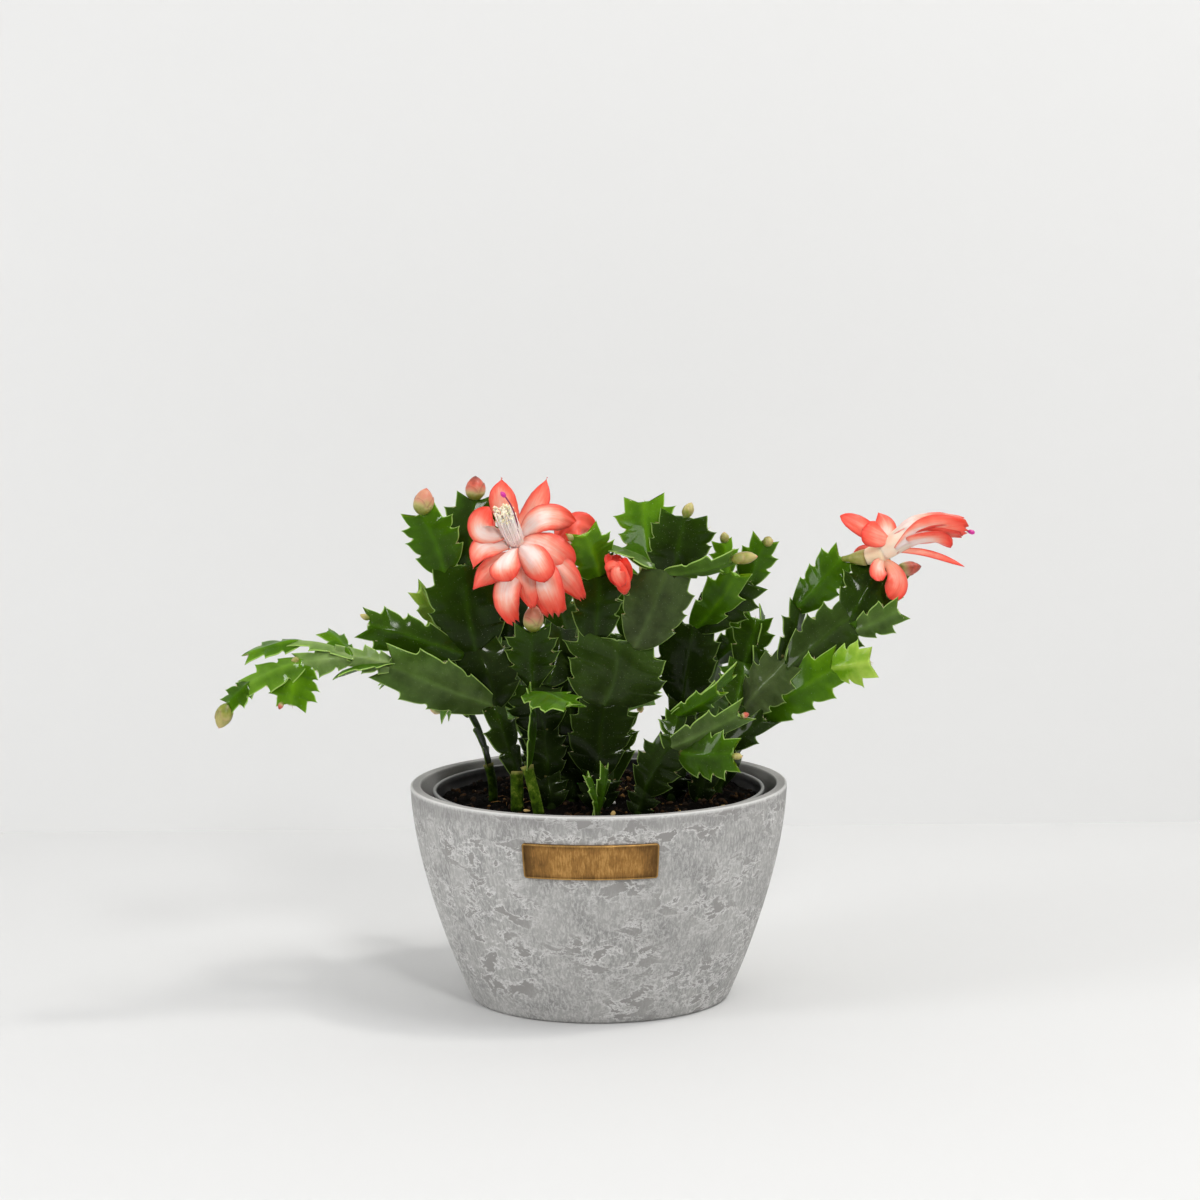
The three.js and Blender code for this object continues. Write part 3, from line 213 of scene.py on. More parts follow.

# Leaves of each stem: its foot, then name, what it grows from, tip, width, turn about its length, place on
# the fork, tone from dark green to bright yellow-green, which is partly the leaf's own colour and partly
# painted shade deep in the plant and painted light on lit leaves, and how far it tapers to its base
STEMS = {
    "left_stem": ((-38, -32), [
        ("woody", "foot", (-38, -31, 113), 10, 10, 0, 0.35, 0.7),
        ("low", "woody", (-49, -29, 145), 14, 15, 0, 0.16, 0.5),
        ("fan", "low", (-98, -42, 166), 23, -20, 0, 0.38, 0.45),
        ("mid", "low", (-57, -24, 171), 28, 0, 0, 0.1, 0.3),
        ("big", "mid", (-62, -22, 210), 33, 5, 0, 0.25, 0),
        ("tip_a", "big", (-81, -28, 234), 22, -12, -1, 0.5, 0.1),
        ("tip_b", "big", (-56, -12, 239), 25, 0, 0.3, 0.34, 0.3),
        ("bright", "mid", (-107, -34, 183), 19, -5, -1, 0.38, 0.5),
        ("arm_1", "fan", (-114, -46, 170), 12, 0, 0, 0.56, 0.3),
        ("arm_2", "arm_1", (-137, -50, 167), 13, 0, 0, 0.58, 0.3),
        ("arm_upper", "arm_1", (-139, -42, 176), 11, 60, 0, 0.62, 0.3),
        ("arm_upper_end", "arm_upper", (-161, -44, 170), 14, 50, 0, 0.6, 0.3),
        ("arm_spur", "arm_1", (-125, -38, 180), 10, 30, 0, 0.55, 0.3),
        ("arm_end", "arm_2", (-161, -53, 157), 14, 20, 0, 0.64, 0.3),
        ("arm_drop", "arm_end", (-169, -55, 149), 12, 20, 0, 0.5, 0.3),
        ("arm_hang", "arm_2", (-140, -54, 148), 20, 0, 0, 0.62, 0.3),
        ("arm_edge", "fan", (-118, -50, 162), 11, 80, 0, 0.5, 0.3),
    ]),
    "left_back_stem": ((-50, -6), [
        ("woody", "foot", (-52, -5, 112), 9, 60, 0, 0.2, 0.7),
        ("low", "woody", (-61, -4, 138), 14, 75, 0, 0.2, 0.7),
        ("mid", "low", (-73, 0, 174), 20, 30, 0, 0.18, 0.3),
        ("pale", "mid", (-84, -6, 195), 16, 50, 0, 0.8, 0.3),
        ("up", "mid", (-66, 8, 206), 22, 60, 0, 0.3, 0.3),
        ("side", "low", (-88, 22, 158), 22, 45, 0, 0.4, 0.3),
        ("side_end", "side", (-100, 44, 146), 20, 70, 0, 0.45, 0.3),
    ]),
    "front_left_stem": ((-28, -44), [
        ("woody", "foot", (-33, -40, 117), 9, 20, 0, 0.4, 0.7),
        ("low", "woody", (-31, -43, 153), 15, 82, 0, 0.38, 0.7),
        ("top", "low", (-12, -57, 148), 25, -58, 0, 0.52, 0.3),
    ]),
    "middle_left_stem": ((-22, -26), [
        ("woody", "foot", (-24, -24, 110), 16, 0, 0, 0.02, 0.2),
        ("low", "woody", (-25, -22, 132), 20, 20, 0, 0.12, 0.3),
        ("mid", "low", (-30, -22, 153), 25, 0, 0, 0.16, 0.3),
        ("top", "mid", (-30, -26, 179), 23, 0, 0, 0.26, 0.9),
        ("behind", "mid", (-17, -10, 178), 22, 10, 1, 0.18, 0.3),
    ]),
    "centre_stem": ((0, -30), [
        ("woody", "foot", (0, -29, 112), 18, 0, 0, 0.0, 0.1),
        ("low", "woody", (3, -26, 145), 28, 0, 0, 0.1, 0.2),
        ("wide", "low", (9, -28, 175), 44, 0, 0, 0.28, 0.1),
        ("left", "wide", (1, -26, 205), 21, 0, -0.8, 0.26, 0.1),
        ("left_tip", "left", (-6, -38, 225), 20, 0, 0, 0.62, 0.2),
        ("right", "wide", (33, -34, 208), 29, 0, 0.8, 0.24, 0.25),
        ("right_tip", "right", (41, -32, 232), 27, 0, 0.5, 0.24, 0.15),
        ("back_tip", "right", (22, -20, 238), 25, -10, -1, 0.6, 0.3),
        ("lying", "right", (4, -24, 217), 15, 60, -1, 0.5, 0.3),
        ("flap", "right", (63, -52, 214), 13, 65, 0.2, 0.5, 0.3),
    ]),
    "front_shoots": ((-1, -48), [
        ("shoot_a", "foot", (-5, -50, 114), 8, 60, 0, 0.4, 0.7),
        ("shoot_b", "foot", (3, -47, 118), 8, 50, 0, 0.36, 0.7),
    ]),
    "centre_right_stem": ((34, -6), [
        ("woody", "foot", (36, -5, 110), 14, 0, 0, 0.0, 0.2),
        ("low", "woody", (40, -6, 142), 18, 10, 0, 0.08, 0.3),
        ("mid", "low", (45, -8, 179), 27, 0, 0, 0.14, 0.3),
        ("out", "mid", (72, -14, 200), 22, 0, 0.5, 0.22, 0.3),
        ("out_tip", "out", (78, -16, 218), 16, 0, 0, 0.5, 0.3),
        ("bright", "mid", (65, -26, 205), 17, 20, 0.2, 0.56, 0.3),
        ("small", "bright", (58, -26, 219), 12, 10, -1, 0.6, 0.3),
    ]),
    "right_stem": ((47, -14), [
        ("woody", "foot", (52, -12, 116), 14, 0, 0, 0.02, 0.2),
        ("low", "woody", (70, -14, 140), 18, 0, 0, 0.18, 0.7),
        ("low_dark", "woody", (79, -22, 136), 13, 10, 0, 0.16, 0.7),
        ("fold", "low", (89, -22, 163), 24, -25, 0, 0.26, 0.3),
        ("bright", "low", (111, -32, 161), 22, 10, 1, 0.56, 0.4),
        ("pale", "bright", (126, -40, 164), 18, 15, 0, 0.82, 0.5),
        ("dark", "fold", (119, -26, 184), 24, 0, 0.5, 0.28, 0.3),
        ("edge", "fold", (94, -12, 187), 14, 40, -0.5, 0.22, 0.3),
        ("blossom", "edge", (115, -16, 210), 19, 0, 0, 0.5, 0.5),
        ("big", "dark", (133, -17, 207), 24, 0, 0, 0.3, 0.3),
        ("behind", "dark", (141, -6, 203), 18, 0, 0.5, 0.42, 0.5),
        ("lying", "dark", (140, -32, 187), 15, 20, 1, 0.45, 0.3),
        ("up", "low", (69, 0, 159), 20, 0, -1, 0.4, 0.3),
        ("up_tip", "up", (75, 2, 180), 18, 0, 0, 0.36, 0.3),
        ("up_edge", "up", (78, 10, 181), 14, 80, 1, 0.4, 0.3),
        ("back", "fold", (97, 6, 176), 20, 75, 0, 0.3, 0.3),
        ("back_end", "back", (104, 30, 168), 20, 60, 0, 0.4, 0.3),
    ]),
    "low_right_stem": ((18, -46), [
        ("woody", "foot", (22, -46, 107), 14, 0, 0, 0.02, 0.2),
        ("low", "woody", (34, -48, 128), 20, 0, 0, 0.14, 0.3),
        ("bright", "low", (62, -64, 126), 20, 10, 1, 0.44, 0.3),
        ("lit", "low", (66, -58, 144), 15, 30, 0, 0.4, 0.3),
        ("mid", "low", (36, -43, 142), 14, 20, 0, 0.3, 0.3),
        ("narrow", "mid", (56, -50, 153), 12, 50, 0, 0.52, 0.3),
        ("edge", "mid", (63, -36, 159), 13, 75, 0, 0.5, 0.3),
    ]),
    "shaded_stem": ((-13, -14), [
        ("woody", "foot", (-13, -14, 112), 18, 10, 0, 0.0, 0.1),
        ("low", "woody", (-13, -13, 142), 24, 5, 0, 0.08, 0.2),
        ("mid", "low", (-13, -13, 162), 20, 0, 0, 0.14, 0.3),
        ("side", "low", (3, -6, 164), 18, 10, 1, 0.2, 0.3),
    ]),
    "middle_back_stem": ((-10, 6), [
        ("low", "foot", (-12, 10, 134), 24, 40, 0, 0.2, 0.7),
        ("mid", "low", (-12, 12, 168), 24, 70, 0, 0.26, 0.3),
        ("top", "mid", (-24, 10, 196), 20, 20, -1, 0.34, 0.3),
        ("top_b", "mid", (4, 16, 196), 22, 30, 1, 0.36, 0.3),
        ("side", "low", (10, 14, 152), 20, 50, 0, 0.3, 0.3),
    ]),
    "back_left_stem": ((-28, 24), [
        ("low", "foot", (-36, 32, 134), 22, 60, 0, 0.26, 0.7),
        ("mid", "low", (-46, 38, 166), 24, 50, 0, 0.3, 0.3),
        ("top", "mid", (-40, 42, 197), 22, 35, 0, 0.14, 0.3),
        ("side", "mid", (-70, 48, 182), 20, 30, -1, 0.44, 0.3),
        ("out", "low", (-58, 56, 146), 22, 40, 0, 0.36, 0.3),
        ("out_end", "out", (-78, 70, 128), 20, 30, 0, 0.5, 0.3),
        ("inner", "low", (-26, 54, 152), 20, 50, 0, 0.3, 0.3),
    ]),
    "back_centre_stem": ((6, 28), [
        ("low", "foot", (6, 38, 136), 24, 0, 0, 0.24, 0.7),
        ("mid", "low", (8, 42, 168), 26, 5, 0, 0.3, 0.3),
        ("top", "mid", (-6, 42, 196), 20, 0, -1, 0.38, 0.3),
        ("top_b", "mid", (24, 48, 194), 22, 10, 1, 0.42, 0.3),
        ("out", "low", (10, 66, 154), 22, 20, 0, 0.4, 0.3),
        ("out_end", "out", (18, 92, 142), 22, 35, 0, 0.5, 0.3),
        ("out_tip", "out_end", (22, 110, 120), 18, 10, 0, 0.58, 0.3),
    ]),
    "back_right_stem": ((34, 22), [
        ("low", "foot", (46, 30, 130), 22, 50, 0, 0.24, 0.7),
        ("mid", "low", (58, 38, 156), 22, 70, 0, 0.3, 0.3),
        ("top", "mid", (76, 42, 172), 18, 40, 0, 0.42, 0.3),
        ("inner", "low", (38, 52, 150), 20, 60, 0, 0.32, 0.3),
        ("out", "low", (62, 54, 142), 20, 30, 1, 0.4, 0.3),
        ("out_end", "out", (82, 72, 130), 18, 20, 0, 0.52, 0.3),
    ]),
    "right_back_stem": ((57, 10), [
        ("low", "foot", (66, 14, 128), 20, 50, 0, 0.24, 0.7),
        ("mid", "low", (80, 20, 151), 20, 40, 0, 0.32, 0.3),
        ("out", "mid", (97, 42, 148), 20, 65, 0, 0.42, 0.3),
        ("out_end", "out", (110, 60, 134), 20, 30, 0, 0.5, 0.3),
    ]),
    "far_back_stem": ((-8, 48), [
        ("low", "foot", (-16, 66, 122), 20, 0, 0, 0.3, 0.7),
        ("out", "low", (-32, 86, 130), 22, 0, -1, 0.4, 0.3),
        ("end", "out", (-46, 104, 114), 20, 0, 0, 0.52, 0.3),
        ("side", "low", (2, 88, 122), 20, 0, 1, 0.46, 0.3),
    ]),
}

# Share of painted grey sheen on some leaves, by the leaf's name
SHEEN_SHARES = {
    "wide": 0.05, "fan": 0.16, "flap": 0.12, "arm_1": 0.55, "arm_2": 0.5, "arm_upper": 0.5, "arm_end": 0.1,
    "fold": 0.22, "right": 0.16, "dark": 0.05, "lit": 0.2, "lying": 0.2,
}

# Leaves whose teeth are shallow although they are not wide
SHALLOW = ("fan",)

# Closed buds: name, the stem and leaf they sit on, tip, width, and how far their colour has turned to coral
BUDS = [
    ("bud_upper_left", "left_stem", "tip_a", (-78, -28, 245), 9, 0.55),
    ("bud_top", "left_stem", "tip_b", (-56, -12, 249), 9, 0.9),
    ("bud_arm", "left_stem", "arm_drop", (-173, -56, 138.5), 7.6, 0.12),
    ("bud_middle", "middle_left_stem", "top", (-29, -29, 190.5), 9, 0.6),
    ("bud_olive", "centre_stem", "right_tip", (44, -30, 237.5), 5, 0.15),
    ("bud_cream", "centre_stem", "flap", (73, -58, 215.5), 5.4, 0.1),
    ("bud_tan", "centre_right_stem", "out_tip", (82, -18, 218), 4.6, 0.1),
    ("bud_right", "right_stem", "behind", (152, -5, 204), 6.6, 0.95),
    ("bud_back", "back_centre_stem", "top_b", (26, 50, 207), 8, 0.55),
    ("bud_back_left", "back_left_stem", "out_end", (-82, 83, 124), 7, 0.5),
    ("bud_back_right", "back_right_stem", "out_end", (97, 76, 124), 6, 0.35),
]

# Buds just forming: stem, leaf, place along it, reach to its side, length, width, turn to coral
YOUNG_BUDS = [
    ("left_stem", "fan", 0.97, -0.25, 4.5, 2.6, 0.1),
    ("left_stem", "bright", 0.99, 0.3, 4, 2.6, 0.15),
    ("left_stem", "arm_hang", 0.98, 0.45, 3, 2.4, 0.9),
    ("left_stem", "arm_2", 0.98, 0.25, 3.2, 3.2, 0.05),
    ("left_stem", "arm_1", 0.99, -0.2, 3, 3, 0.05),
    ("centre_stem", "left_tip", 0.97, -0.6, 3.4, 2.6, 0.1),
    ("centre_right_stem", "small", 0.98, 0.2, 4.4, 4.2, 0.05),
    ("low_right_stem", "bright", 0.99, 0.1, 4.5, 3, 0.1),
    ("low_right_stem", "lit", 0.98, 0.2, 3.2, 2.6, 0.95),
    ("left_back_stem", "side_end", 0.98, 0, 4, 2.8, 0.3),
    ("back_centre_stem", "out_tip", 0.98, 0.1, 5, 3.4, 0.4),
    ("right_back_stem", "out_end", 0.98, 0, 4.5, 3, 0.3),
    ("far_back_stem", "end", 0.98, 0.1, 5, 3.4, 0.35),
    ("middle_back_stem", "top", 0.98, 0, 4.5, 3.2, 0.3),
]
SEAT_GAP = 0.3
YOUNG_BUD_SUNK = 0.8
STALK_RADII = (1.1, 1.2, 1.3)
BUD_ROWS = 15
BUD_SIDES = 18
# A closed bud's outline: places along it, and its radius there as a share of its widest
BUD_PROFILE = (
    (0, 0.06, 0.15, 0.3, 0.45, 0.6, 0.75, 0.88, 0.96, 1),
    (0.42, 0.58, 0.8, 0.96, 1, 0.95, 0.78, 0.5, 0.24, 0.03),
)
# Scales of a bud: turn about it, how far along it they reach, and how far they spread, in degrees
BUD_SCALES = [
    (0, 0.3, 50), (130, 0.34, 62), (250, 0.42, 60), (60, 0.62, 64), (190, 0.72, 66), (310, 0.8, 66),
]
SCALE_ROWS = 9
SCALE_COLUMNS = 7

# A petal: its mesh, its thickness, how deep it is cupped, and its reach at places along it when it ends in a
# point and when it is blunt
PETAL_ROWS = 23
PETAL_COLUMNS = 15
PETAL_THICK = 0.5
PETAL_SPACING = 11
CUP = 0.07
PETAL_PLACES = (0, 0.12, 0.25, 0.42, 0.58, 0.74, 0.86, 0.94, 0.98, 1)
POINTED_REACHES = (0.26, 0.55, 0.84, 1, 1, 0.87, 0.63, 0.34, 0.15, 0.03)
BLUNT_REACHES = (0.22, 0.42, 0.66, 0.9, 1, 1, 0.9, 0.68, 0.42, 0.14)

# The large open bloom: where it faces, the middle of each ring of petals, and a row for each petal: tip,
# width, paleness of its middle, roundness of its end, how ragged that is, how far it curls back, and its
# sideways bend
LEFT_FACING = np.array([-0.35, -0.85, 0.35]) / np.linalg.norm([-0.35, -0.85, 0.35])
LEFT_THROAT = np.array([-37.5, -31, 221])
LEFT_MIDDLE = np.array([-31, -27, 214.5])
LEFT_WAIST = np.array([-19, -21, 217])
LEFT_MOUTH_PETALS = [
    ((-43.5, -30, 250), 13, 0.45, -0.7, 0, 0.5, (-1, 0, 0)),
    ((-22.5, -22, 249), 12, 0.45, -0.7, 0, 0, (2, 0, -3)),
    ((-8, -21, 226.5), 14, 0.75, 0, 0, 1, (-1, -5, 6)),
    ((-12, -36, 207.5), 19, 0.6, 0.8, 0.1, 0, (1, -3, 2)),
    ((-23, -46, 203.5), 15, 0.9, 0.65, 0, 0, (2, -2, 1)),
    ((-40, -49, 204), 15, 0.95, 0.9, 0, 0, (-2, -3, 0)),
    ((-56.5, -42, 209), 12, 0.75, -0.4, 0, 0, (-2, -1, 4)),
    ((-48.5, -39, 236), 14, 0.95, 0.5, 0, -2, (-7, -3, -4)),
]
LEFT_MIDDLE_PETALS = [
    ((-57, -34, 198.5), 13, 0.45, -0.5, 0.2, 0, (0, 0, 2)),
    ((-37, -36, 182), 14, 0.8, 0, 0.45, 1, (-6, -4, 0)),
    ((-19.5, -37, 184.5), 18, 0.8, 0.6, 0.5, 1, (1, -6, 4)),
    ((-6.5, -36, 193), 15, 0.7, -0.1, 0.4, 0, (1, -4, 4)),
    ((-29, -38, 190), 13, 0.5, 0, 0.2, 0, (-1, -3, 2)),
]
LEFT_WAIST_PETALS = [
    ((-1, -15, 221.5), 14, -0.4, 0.5, 0, 1, (0, -3, 6)),
    ((-7, -6, 229), 11, -0.2, 0.3, 0, 0, (0, 0, 2)),
    ((-24, 6, 206), 12, 0.4, 0.3, 0.4, 1, (0, 0, 0)),
]
WAIST_RING = 2.2
MIDDLE_RING = 3
MOUTH_RING = 3.8
OPEN_BOW = 4
# Its green seat and its pale tube: share of the length, radius
LEFT_SEAT_ROWS = [(0, 0.8), (0.08, 1.6), (0.5, 2.6), (1.1, 3.6)]
LEFT_TUBE_ROWS = [(-0.05, 2.6), (0.1, 3.6), (0.6, 4.2), (0.92, 4.4), (1, 3.6)]
LEFT_STAMEN_TIP = np.array([-43.5, -43, 238.5])
LEFT_STIGMA = np.array([-42, -48, 243.5])
LEFT_STYLE_BEND = np.array([2.6, -1.5, 3])
# Where its style starts from the throat: beside the stamens, along them, and in front of them
LEFT_STYLE_ROOT = (3.4, 2, 2.5)

# Stamens: how many, the turn from each to the next in radians, their length, how wide they stand at their
# seat and at their heads, and the radii of their core, their threads and their heads
STAMENS = 140
GOLDEN_ANGLE = 2.39996
STAMEN_LENGTH = (13.5, 19.5)
STAMEN_SEAT = 4.2
STAMEN_SPREAD = 4.8
STAMEN_CORE_REACH = (-3, 15)
STAMEN_CORE_RADII = (3.2, 3.5, 3.5, 3.4, 3.4, 3.3, 3.2, 2.8, 1)
THREAD_RADII = (0.34, 0.22)
ANTHER_RISES = (-0.5, -0.25, 0.35, 0.65)
ANTHER_RADII = (0.15, 0.5, 0.48, 0.12)
# A lobe of the stigma: rise along the style, share of its lean outwards, radius, shade
STYLE_RADIUS = 0.36
STIGMA_LOBES = 5
LOBE_LEAN = 0.55
STIGMA_ROWS = [(-1.4, 0.2, 0.35, 0.6), (-0.5, 0.8, 0.6, 0.9), (0.9, 1, 0.6, 1), (1.9, 0.6, 0.2, 1)]

# Mesh of a flower tube
TUBE_ROWS = 13
TUBE_SIDES = 20

# The right bloom: its ovary's end, the line of its tube to the furled petals, and its petals
RIGHT_OVARY_END = np.array([125, -20, 210.2])
RIGHT_WAIST = np.array([132, -21, 212.7])
RIGHT_TUBE = [
    (132, -21, 212.7), (138, -21.5, 216.7), (144, -22, 220.7), (151, -23, 224.7), (159, -23.5, 226),
    (166, -24, 224.8),
]
RIGHT_TUBE_RADII = (4.6, 5.2, 5.9, 6.2, 5.4, 3)
RIGHT_TUBE_STEPS = 22
# Its calyx between ovary and tube: share of the length, radius
RIGHT_CALYX_ROWS = [(0, 3.6), (0.25, 4.1), (1, 5), (1.25, 4)]
RIGHT_FACING = np.array([0.9, -0.05, 0.25]) / np.linalg.norm([0.9, -0.05, 0.25])
RIGHT_LOOK = np.array([0.3, -0.92, 0.25]) / np.linalg.norm([0.3, -0.92, 0.25])
RIGHT_BACK_PETALS = [
    ((112.5, -27, 230.5), 9, 0.2, 0.7, 0, 0, (3, -2, 0)),
    ((131, -15, 230.5), 11, 0.8, 0, 0, 0, (3, 0, -1)),
    ((131, -32, 200.5), 8.5, 0.5, 0.2, 0.3, 0, (-2, 0, 0)),
    ((134.5, -30, 192.5), 11, 0.15, 0.95, 0, 0, (5, -1, 0)),
    ((119, -6, 208), 10, 0.3, 0.6, 0, 0, (0, 0, 0)),
]
RIGHT_COLLAR_PETAL = [((122.5, -30, 224.5), 12, 0.1, 0.85, 0, 0, (0, -2, 0))]
RIGHT_LONG_PETAL = [((170, -27, 206.2), 3.4, 0.3, 0, 0, 0, (-2, 0, 3))]
RIGHT_FURLED_PETALS = [
    ((170.5, -24, 228), 15, 0.8, 0.75, 0.35, 0, (-2, 0, 3.4)),
    ((171.5, -28.5, 223), 15, 0.95, 0.8, 0.4, 0, (-2, 0, 4)),
    ((164, -27, 215.6), 13, 0.95, 0.35, 0.1, 0, (0, 0, 5.6)),
    ((170, -19, 223), 14, 0.9, 0.8, 0.3, 0, (-2, 0, 4)),
    ((169, -25, 219.5), 14, 0.9, 0.7, 0.3, 0, (-1, 0, 5)),
]
RIGHT_STIGMA = np.array([173, -24, 222.1])
RIGHT_STYLE_RISE = np.array([0, 0, 1.2])

# The bud that is half open: its seat, its tip and the rows of its folded petals
OPENING_BASE = np.array([13, -33, 196])
OPENING_TIP = np.array([10, -39, 212])
OPENING_LOOK = np.array([0, -1, 0.2])
OPENING_TUBE_ROWS = [(0, 1.2), (0.15, 3), (0.4, 3.8), (0.7, 3), (0.95, 1)]
OPENING_PETALS = [
    ((5.5, -37.5, 214.5), 7, -0.5, 0.9, 0.5, -1, (-1, 0, 0)),
    ((11, -37, 212.5), 7, -0.4, 0.9, 0.7, -1, (1, -1, 0)),
    ((8.5, -32, 213.5), 7, -0.7, 0.8, 0.4, -1, (0, 1, 0)),
]
OPENING_FLAP = [
    ((12.5, -40, 200), 7, 0.1, 0.7, 0.3, 0, (-2, -1, 2)),
    ((5, -39.5, 207), 5, -0.2, 0.4, 0, 0, (-1, 0, 2)),
]


def linear(value):
    """An sRGB hex value as the linear colour that Blender works in."""
    channels = [int(value[i:i + 2], 16) / 255 for i in (1, 3, 5)]
    return [c / 12.92 if c <= 0.04045 else ((c + 0.055) / 1.055) ** 2.4 for c in channels] + [1]


def per_metre(size):
    """The texture scale at which one feature is this many millimetres."""
    return 1 / (size * MM)


def add_node(tree, kind, settings):
    """Adds a node to a material, with its settings and what feeds its inputs, and gives its outputs."""
    node = tree.nodes.new("ShaderNode" + kind)
    for name, value in settings.items():
        if name == "stops":
            for _ in value[2:]:
                node.color_ramp.elements.new(1)
            for element, (place, colour) in zip(node.color_ramp.elements, value):
                element.position = place
                element.color = linear(colour) if isinstance(colour, str) else [colour] * 3 + [1]
        elif isinstance(value, bpy.types.NodeSocket):
            tree.links.new(value, node.inputs[name])
        elif isinstance(name, int) or name in node.inputs:
            node.inputs[name].default_value = linear(value) if isinstance(value, str) else value
        else:
            setattr(node, name, value)
    return node.outputs


def painted(tree):
    """The four channels that are painted on a piece's points."""
    paint = add_node(tree, "Attribute", {"attribute_name": "paint"})
    return [*add_node(tree, "SeparateColor", {"Color": paint["Color"]}), paint["Alpha"]]


def vary(tree, tone, pattern, amount, middle=0):
    """A tone with this share of a pattern added, unchanged where the pattern is at its middle."""
    if middle:
        pattern = add_node(tree, "Math", {"operation": "SUBTRACT", 0: pattern, 1: middle})[0]
    return add_node(tree, "Math", {"operation": "MULTIPLY_ADD", 0: pattern, 1: amount, 2: tone})[0]


def lay_over(tree, colour, layers):
    """Lays colours over a colour, each with its strength and with what says where it lies."""
    for tint, strength, where in layers:
        if strength < 1:
            where = add_node(tree, "Math", {"operation": "MULTIPLY", 0: where, 1: strength})[0]
        colour = add_node(tree, "MixRGB", {"Fac": where, "Color1": colour, "Color2": tint})[0]
    return colour


def new_finish(name, settings):
    """A material and its node tree, with the shader's plain values set on its own sockets."""
    material = bpy.data.materials.new(name)
    material.use_nodes = True
    for socket, value in settings.items():
        material.node_tree.nodes["Principled BSDF"].inputs[socket].default_value = value
    return material, material.node_tree


def join_shader(material, colour, relief=None, rough=None):
    """Gives the shader its colour, a relief of this many millimetres, and a roughness between two values."""
    tree = material.node_tree
    inputs = tree.nodes["Principled BSDF"].inputs
    tree.links.new(colour, inputs["Base Color"])
    if relief:
        height, distance, strength = relief
        bump = add_node(tree, "Bump", {"Height": height, "Distance": distance * MM, "Strength": strength})
        tree.links.new(bump[0], inputs["Normal"])
    if rough:
        pattern, low, high = rough
        level = add_node(tree, "MapRange", {"Value": pattern, "To Min": low, "To Max": high})
        tree.links.new(level[0], inputs["Roughness"])
    return material


def faux_stone():
    """Stone powder in resin, moulded: matt grey, upright wisps, smooth dark patches, torn pale rims."""
    material, tree = new_finish("moulded_faux_stone", {"IOR": 1.5})
    edge_highlight, lip, inside, band = painted(tree)
    place = add_node(tree, "TexCoord", {})["Object"]
    drawn, spread = (
        add_node(tree, "Mapping", {"Scale": (1, 1, squeeze), "Vector": place})[0] for squeeze in (0.3, 1.7)
    )
    # The powder's grain is too fine to show, so its wisps are drawn 1.1 mm wide
    wisps, cloud, flakes, where = (
        add_node(tree, "TexNoise", {"Scale": per_metre(size), "Detail": detail, "Roughness": rough,
                                    "Distortion": twist, "Vector": over})[0]
        for size, detail, rough, twist, over in (
            (1.1, 6, 0.74, 0.5, drawn), (17, 5, 0.62, 0.5, place), (11, 9, 0.69, 0.35, spread),
            (38, 2, 0.5, 0, spread),
        )
    )
    wisps, cloud, patch, rim, where = (
        add_node(tree, "ValToRGB", {"stops": stops, "Fac": pattern})[0] for pattern, stops in (
            (wisps, [(0.46, 0), (0.6, 1)]), (cloud, [(0.36, 0), (0.64, 1)]),
            (flakes, [(0.545, 0), (0.565, 1)]), (flakes, [(0.49, 0), (0.541, 1), (0.556, 0)]),
            (where, [(0.38, 0.1), (0.58, 1)]),
        )
    )
    wisps, torn, smooth = (
        add_node(tree, "Math", {"operation": "MULTIPLY", 0: pattern, 1: share})[0]
        for pattern, share in ((wisps, 0.68), (rim, where), (patch, where))
    )
    # The paler colour on the lip's rounded edges and the top of the outer wall is a painted highlight
    colour = lay_over(tree, "#8D8C8A", [
        ("#ABAAA7", 1, cloud), ("#D0CFCC", 1, wisps), ("#959390", 1, smooth), ("#E2E1DF", 0.95, torn),
        ("#A3A19E", 0.85, lip), ("#8A8886", 1, band), ("#A3A19E", 1, inside), ("#DAD9D6", 1, edge_highlight),
    ])
    return join_shader(material, colour, (vary(tree, torn, wisps, 1), 0.12, 0.6), (smooth, 0.78, 0.6))


def antique_brass():
    """Brass sheet, brushed upright and darkened: warm gold with fine grain, a painted highlight on its
    border, and painted shade that browns its corners and ends.
    """
    material, tree = new_finish("brushed_antique_brass", {"Metallic": 1, "Anisotropic": 0.4})
    border_highlight, shade, _, _ = painted(tree)
    place = add_node(tree, "TexCoord", {})["Object"]
    # Brush lines about 0.2 mm apart are too fine to show, so they are drawn 0.7 mm apart
    drawn = add_node(tree, "Mapping", {"Scale": (1, 1, 0.04), "Vector": place})[0]
    grain = add_node(tree, "TexNoise", {"Scale": per_metre(0.7), "Detail": 3, "Roughness": 0.7,
                                        "Vector": drawn})[0]
    stain = add_node(tree, "TexNoise", {"Scale": per_metre(9), "Detail": 4, "Roughness": 0.6,
                                        "Vector": place})[0]
    # Painted shade browns the groove inside the border, the edges and the plate's left and right ends
    tone = vary(tree, vary(tree, shade, stain, 0.7), grain, -0.55)
    colour = add_node(tree, "ValToRGB", {"Fac": tone, "stops": [
        (0, "#C6995A"), (0.14, "#A07642"), (0.34, "#725431"), (0.8, "#362613"),
    ]})[0]
    # The lighter gold on the border is a painted highlight
    colour = lay_over(tree, colour, [("#E8BD74", 1, border_highlight)])
    return join_shader(material, colour, (grain, 0.03, 0.5), (grain, 0.3, 0.46))


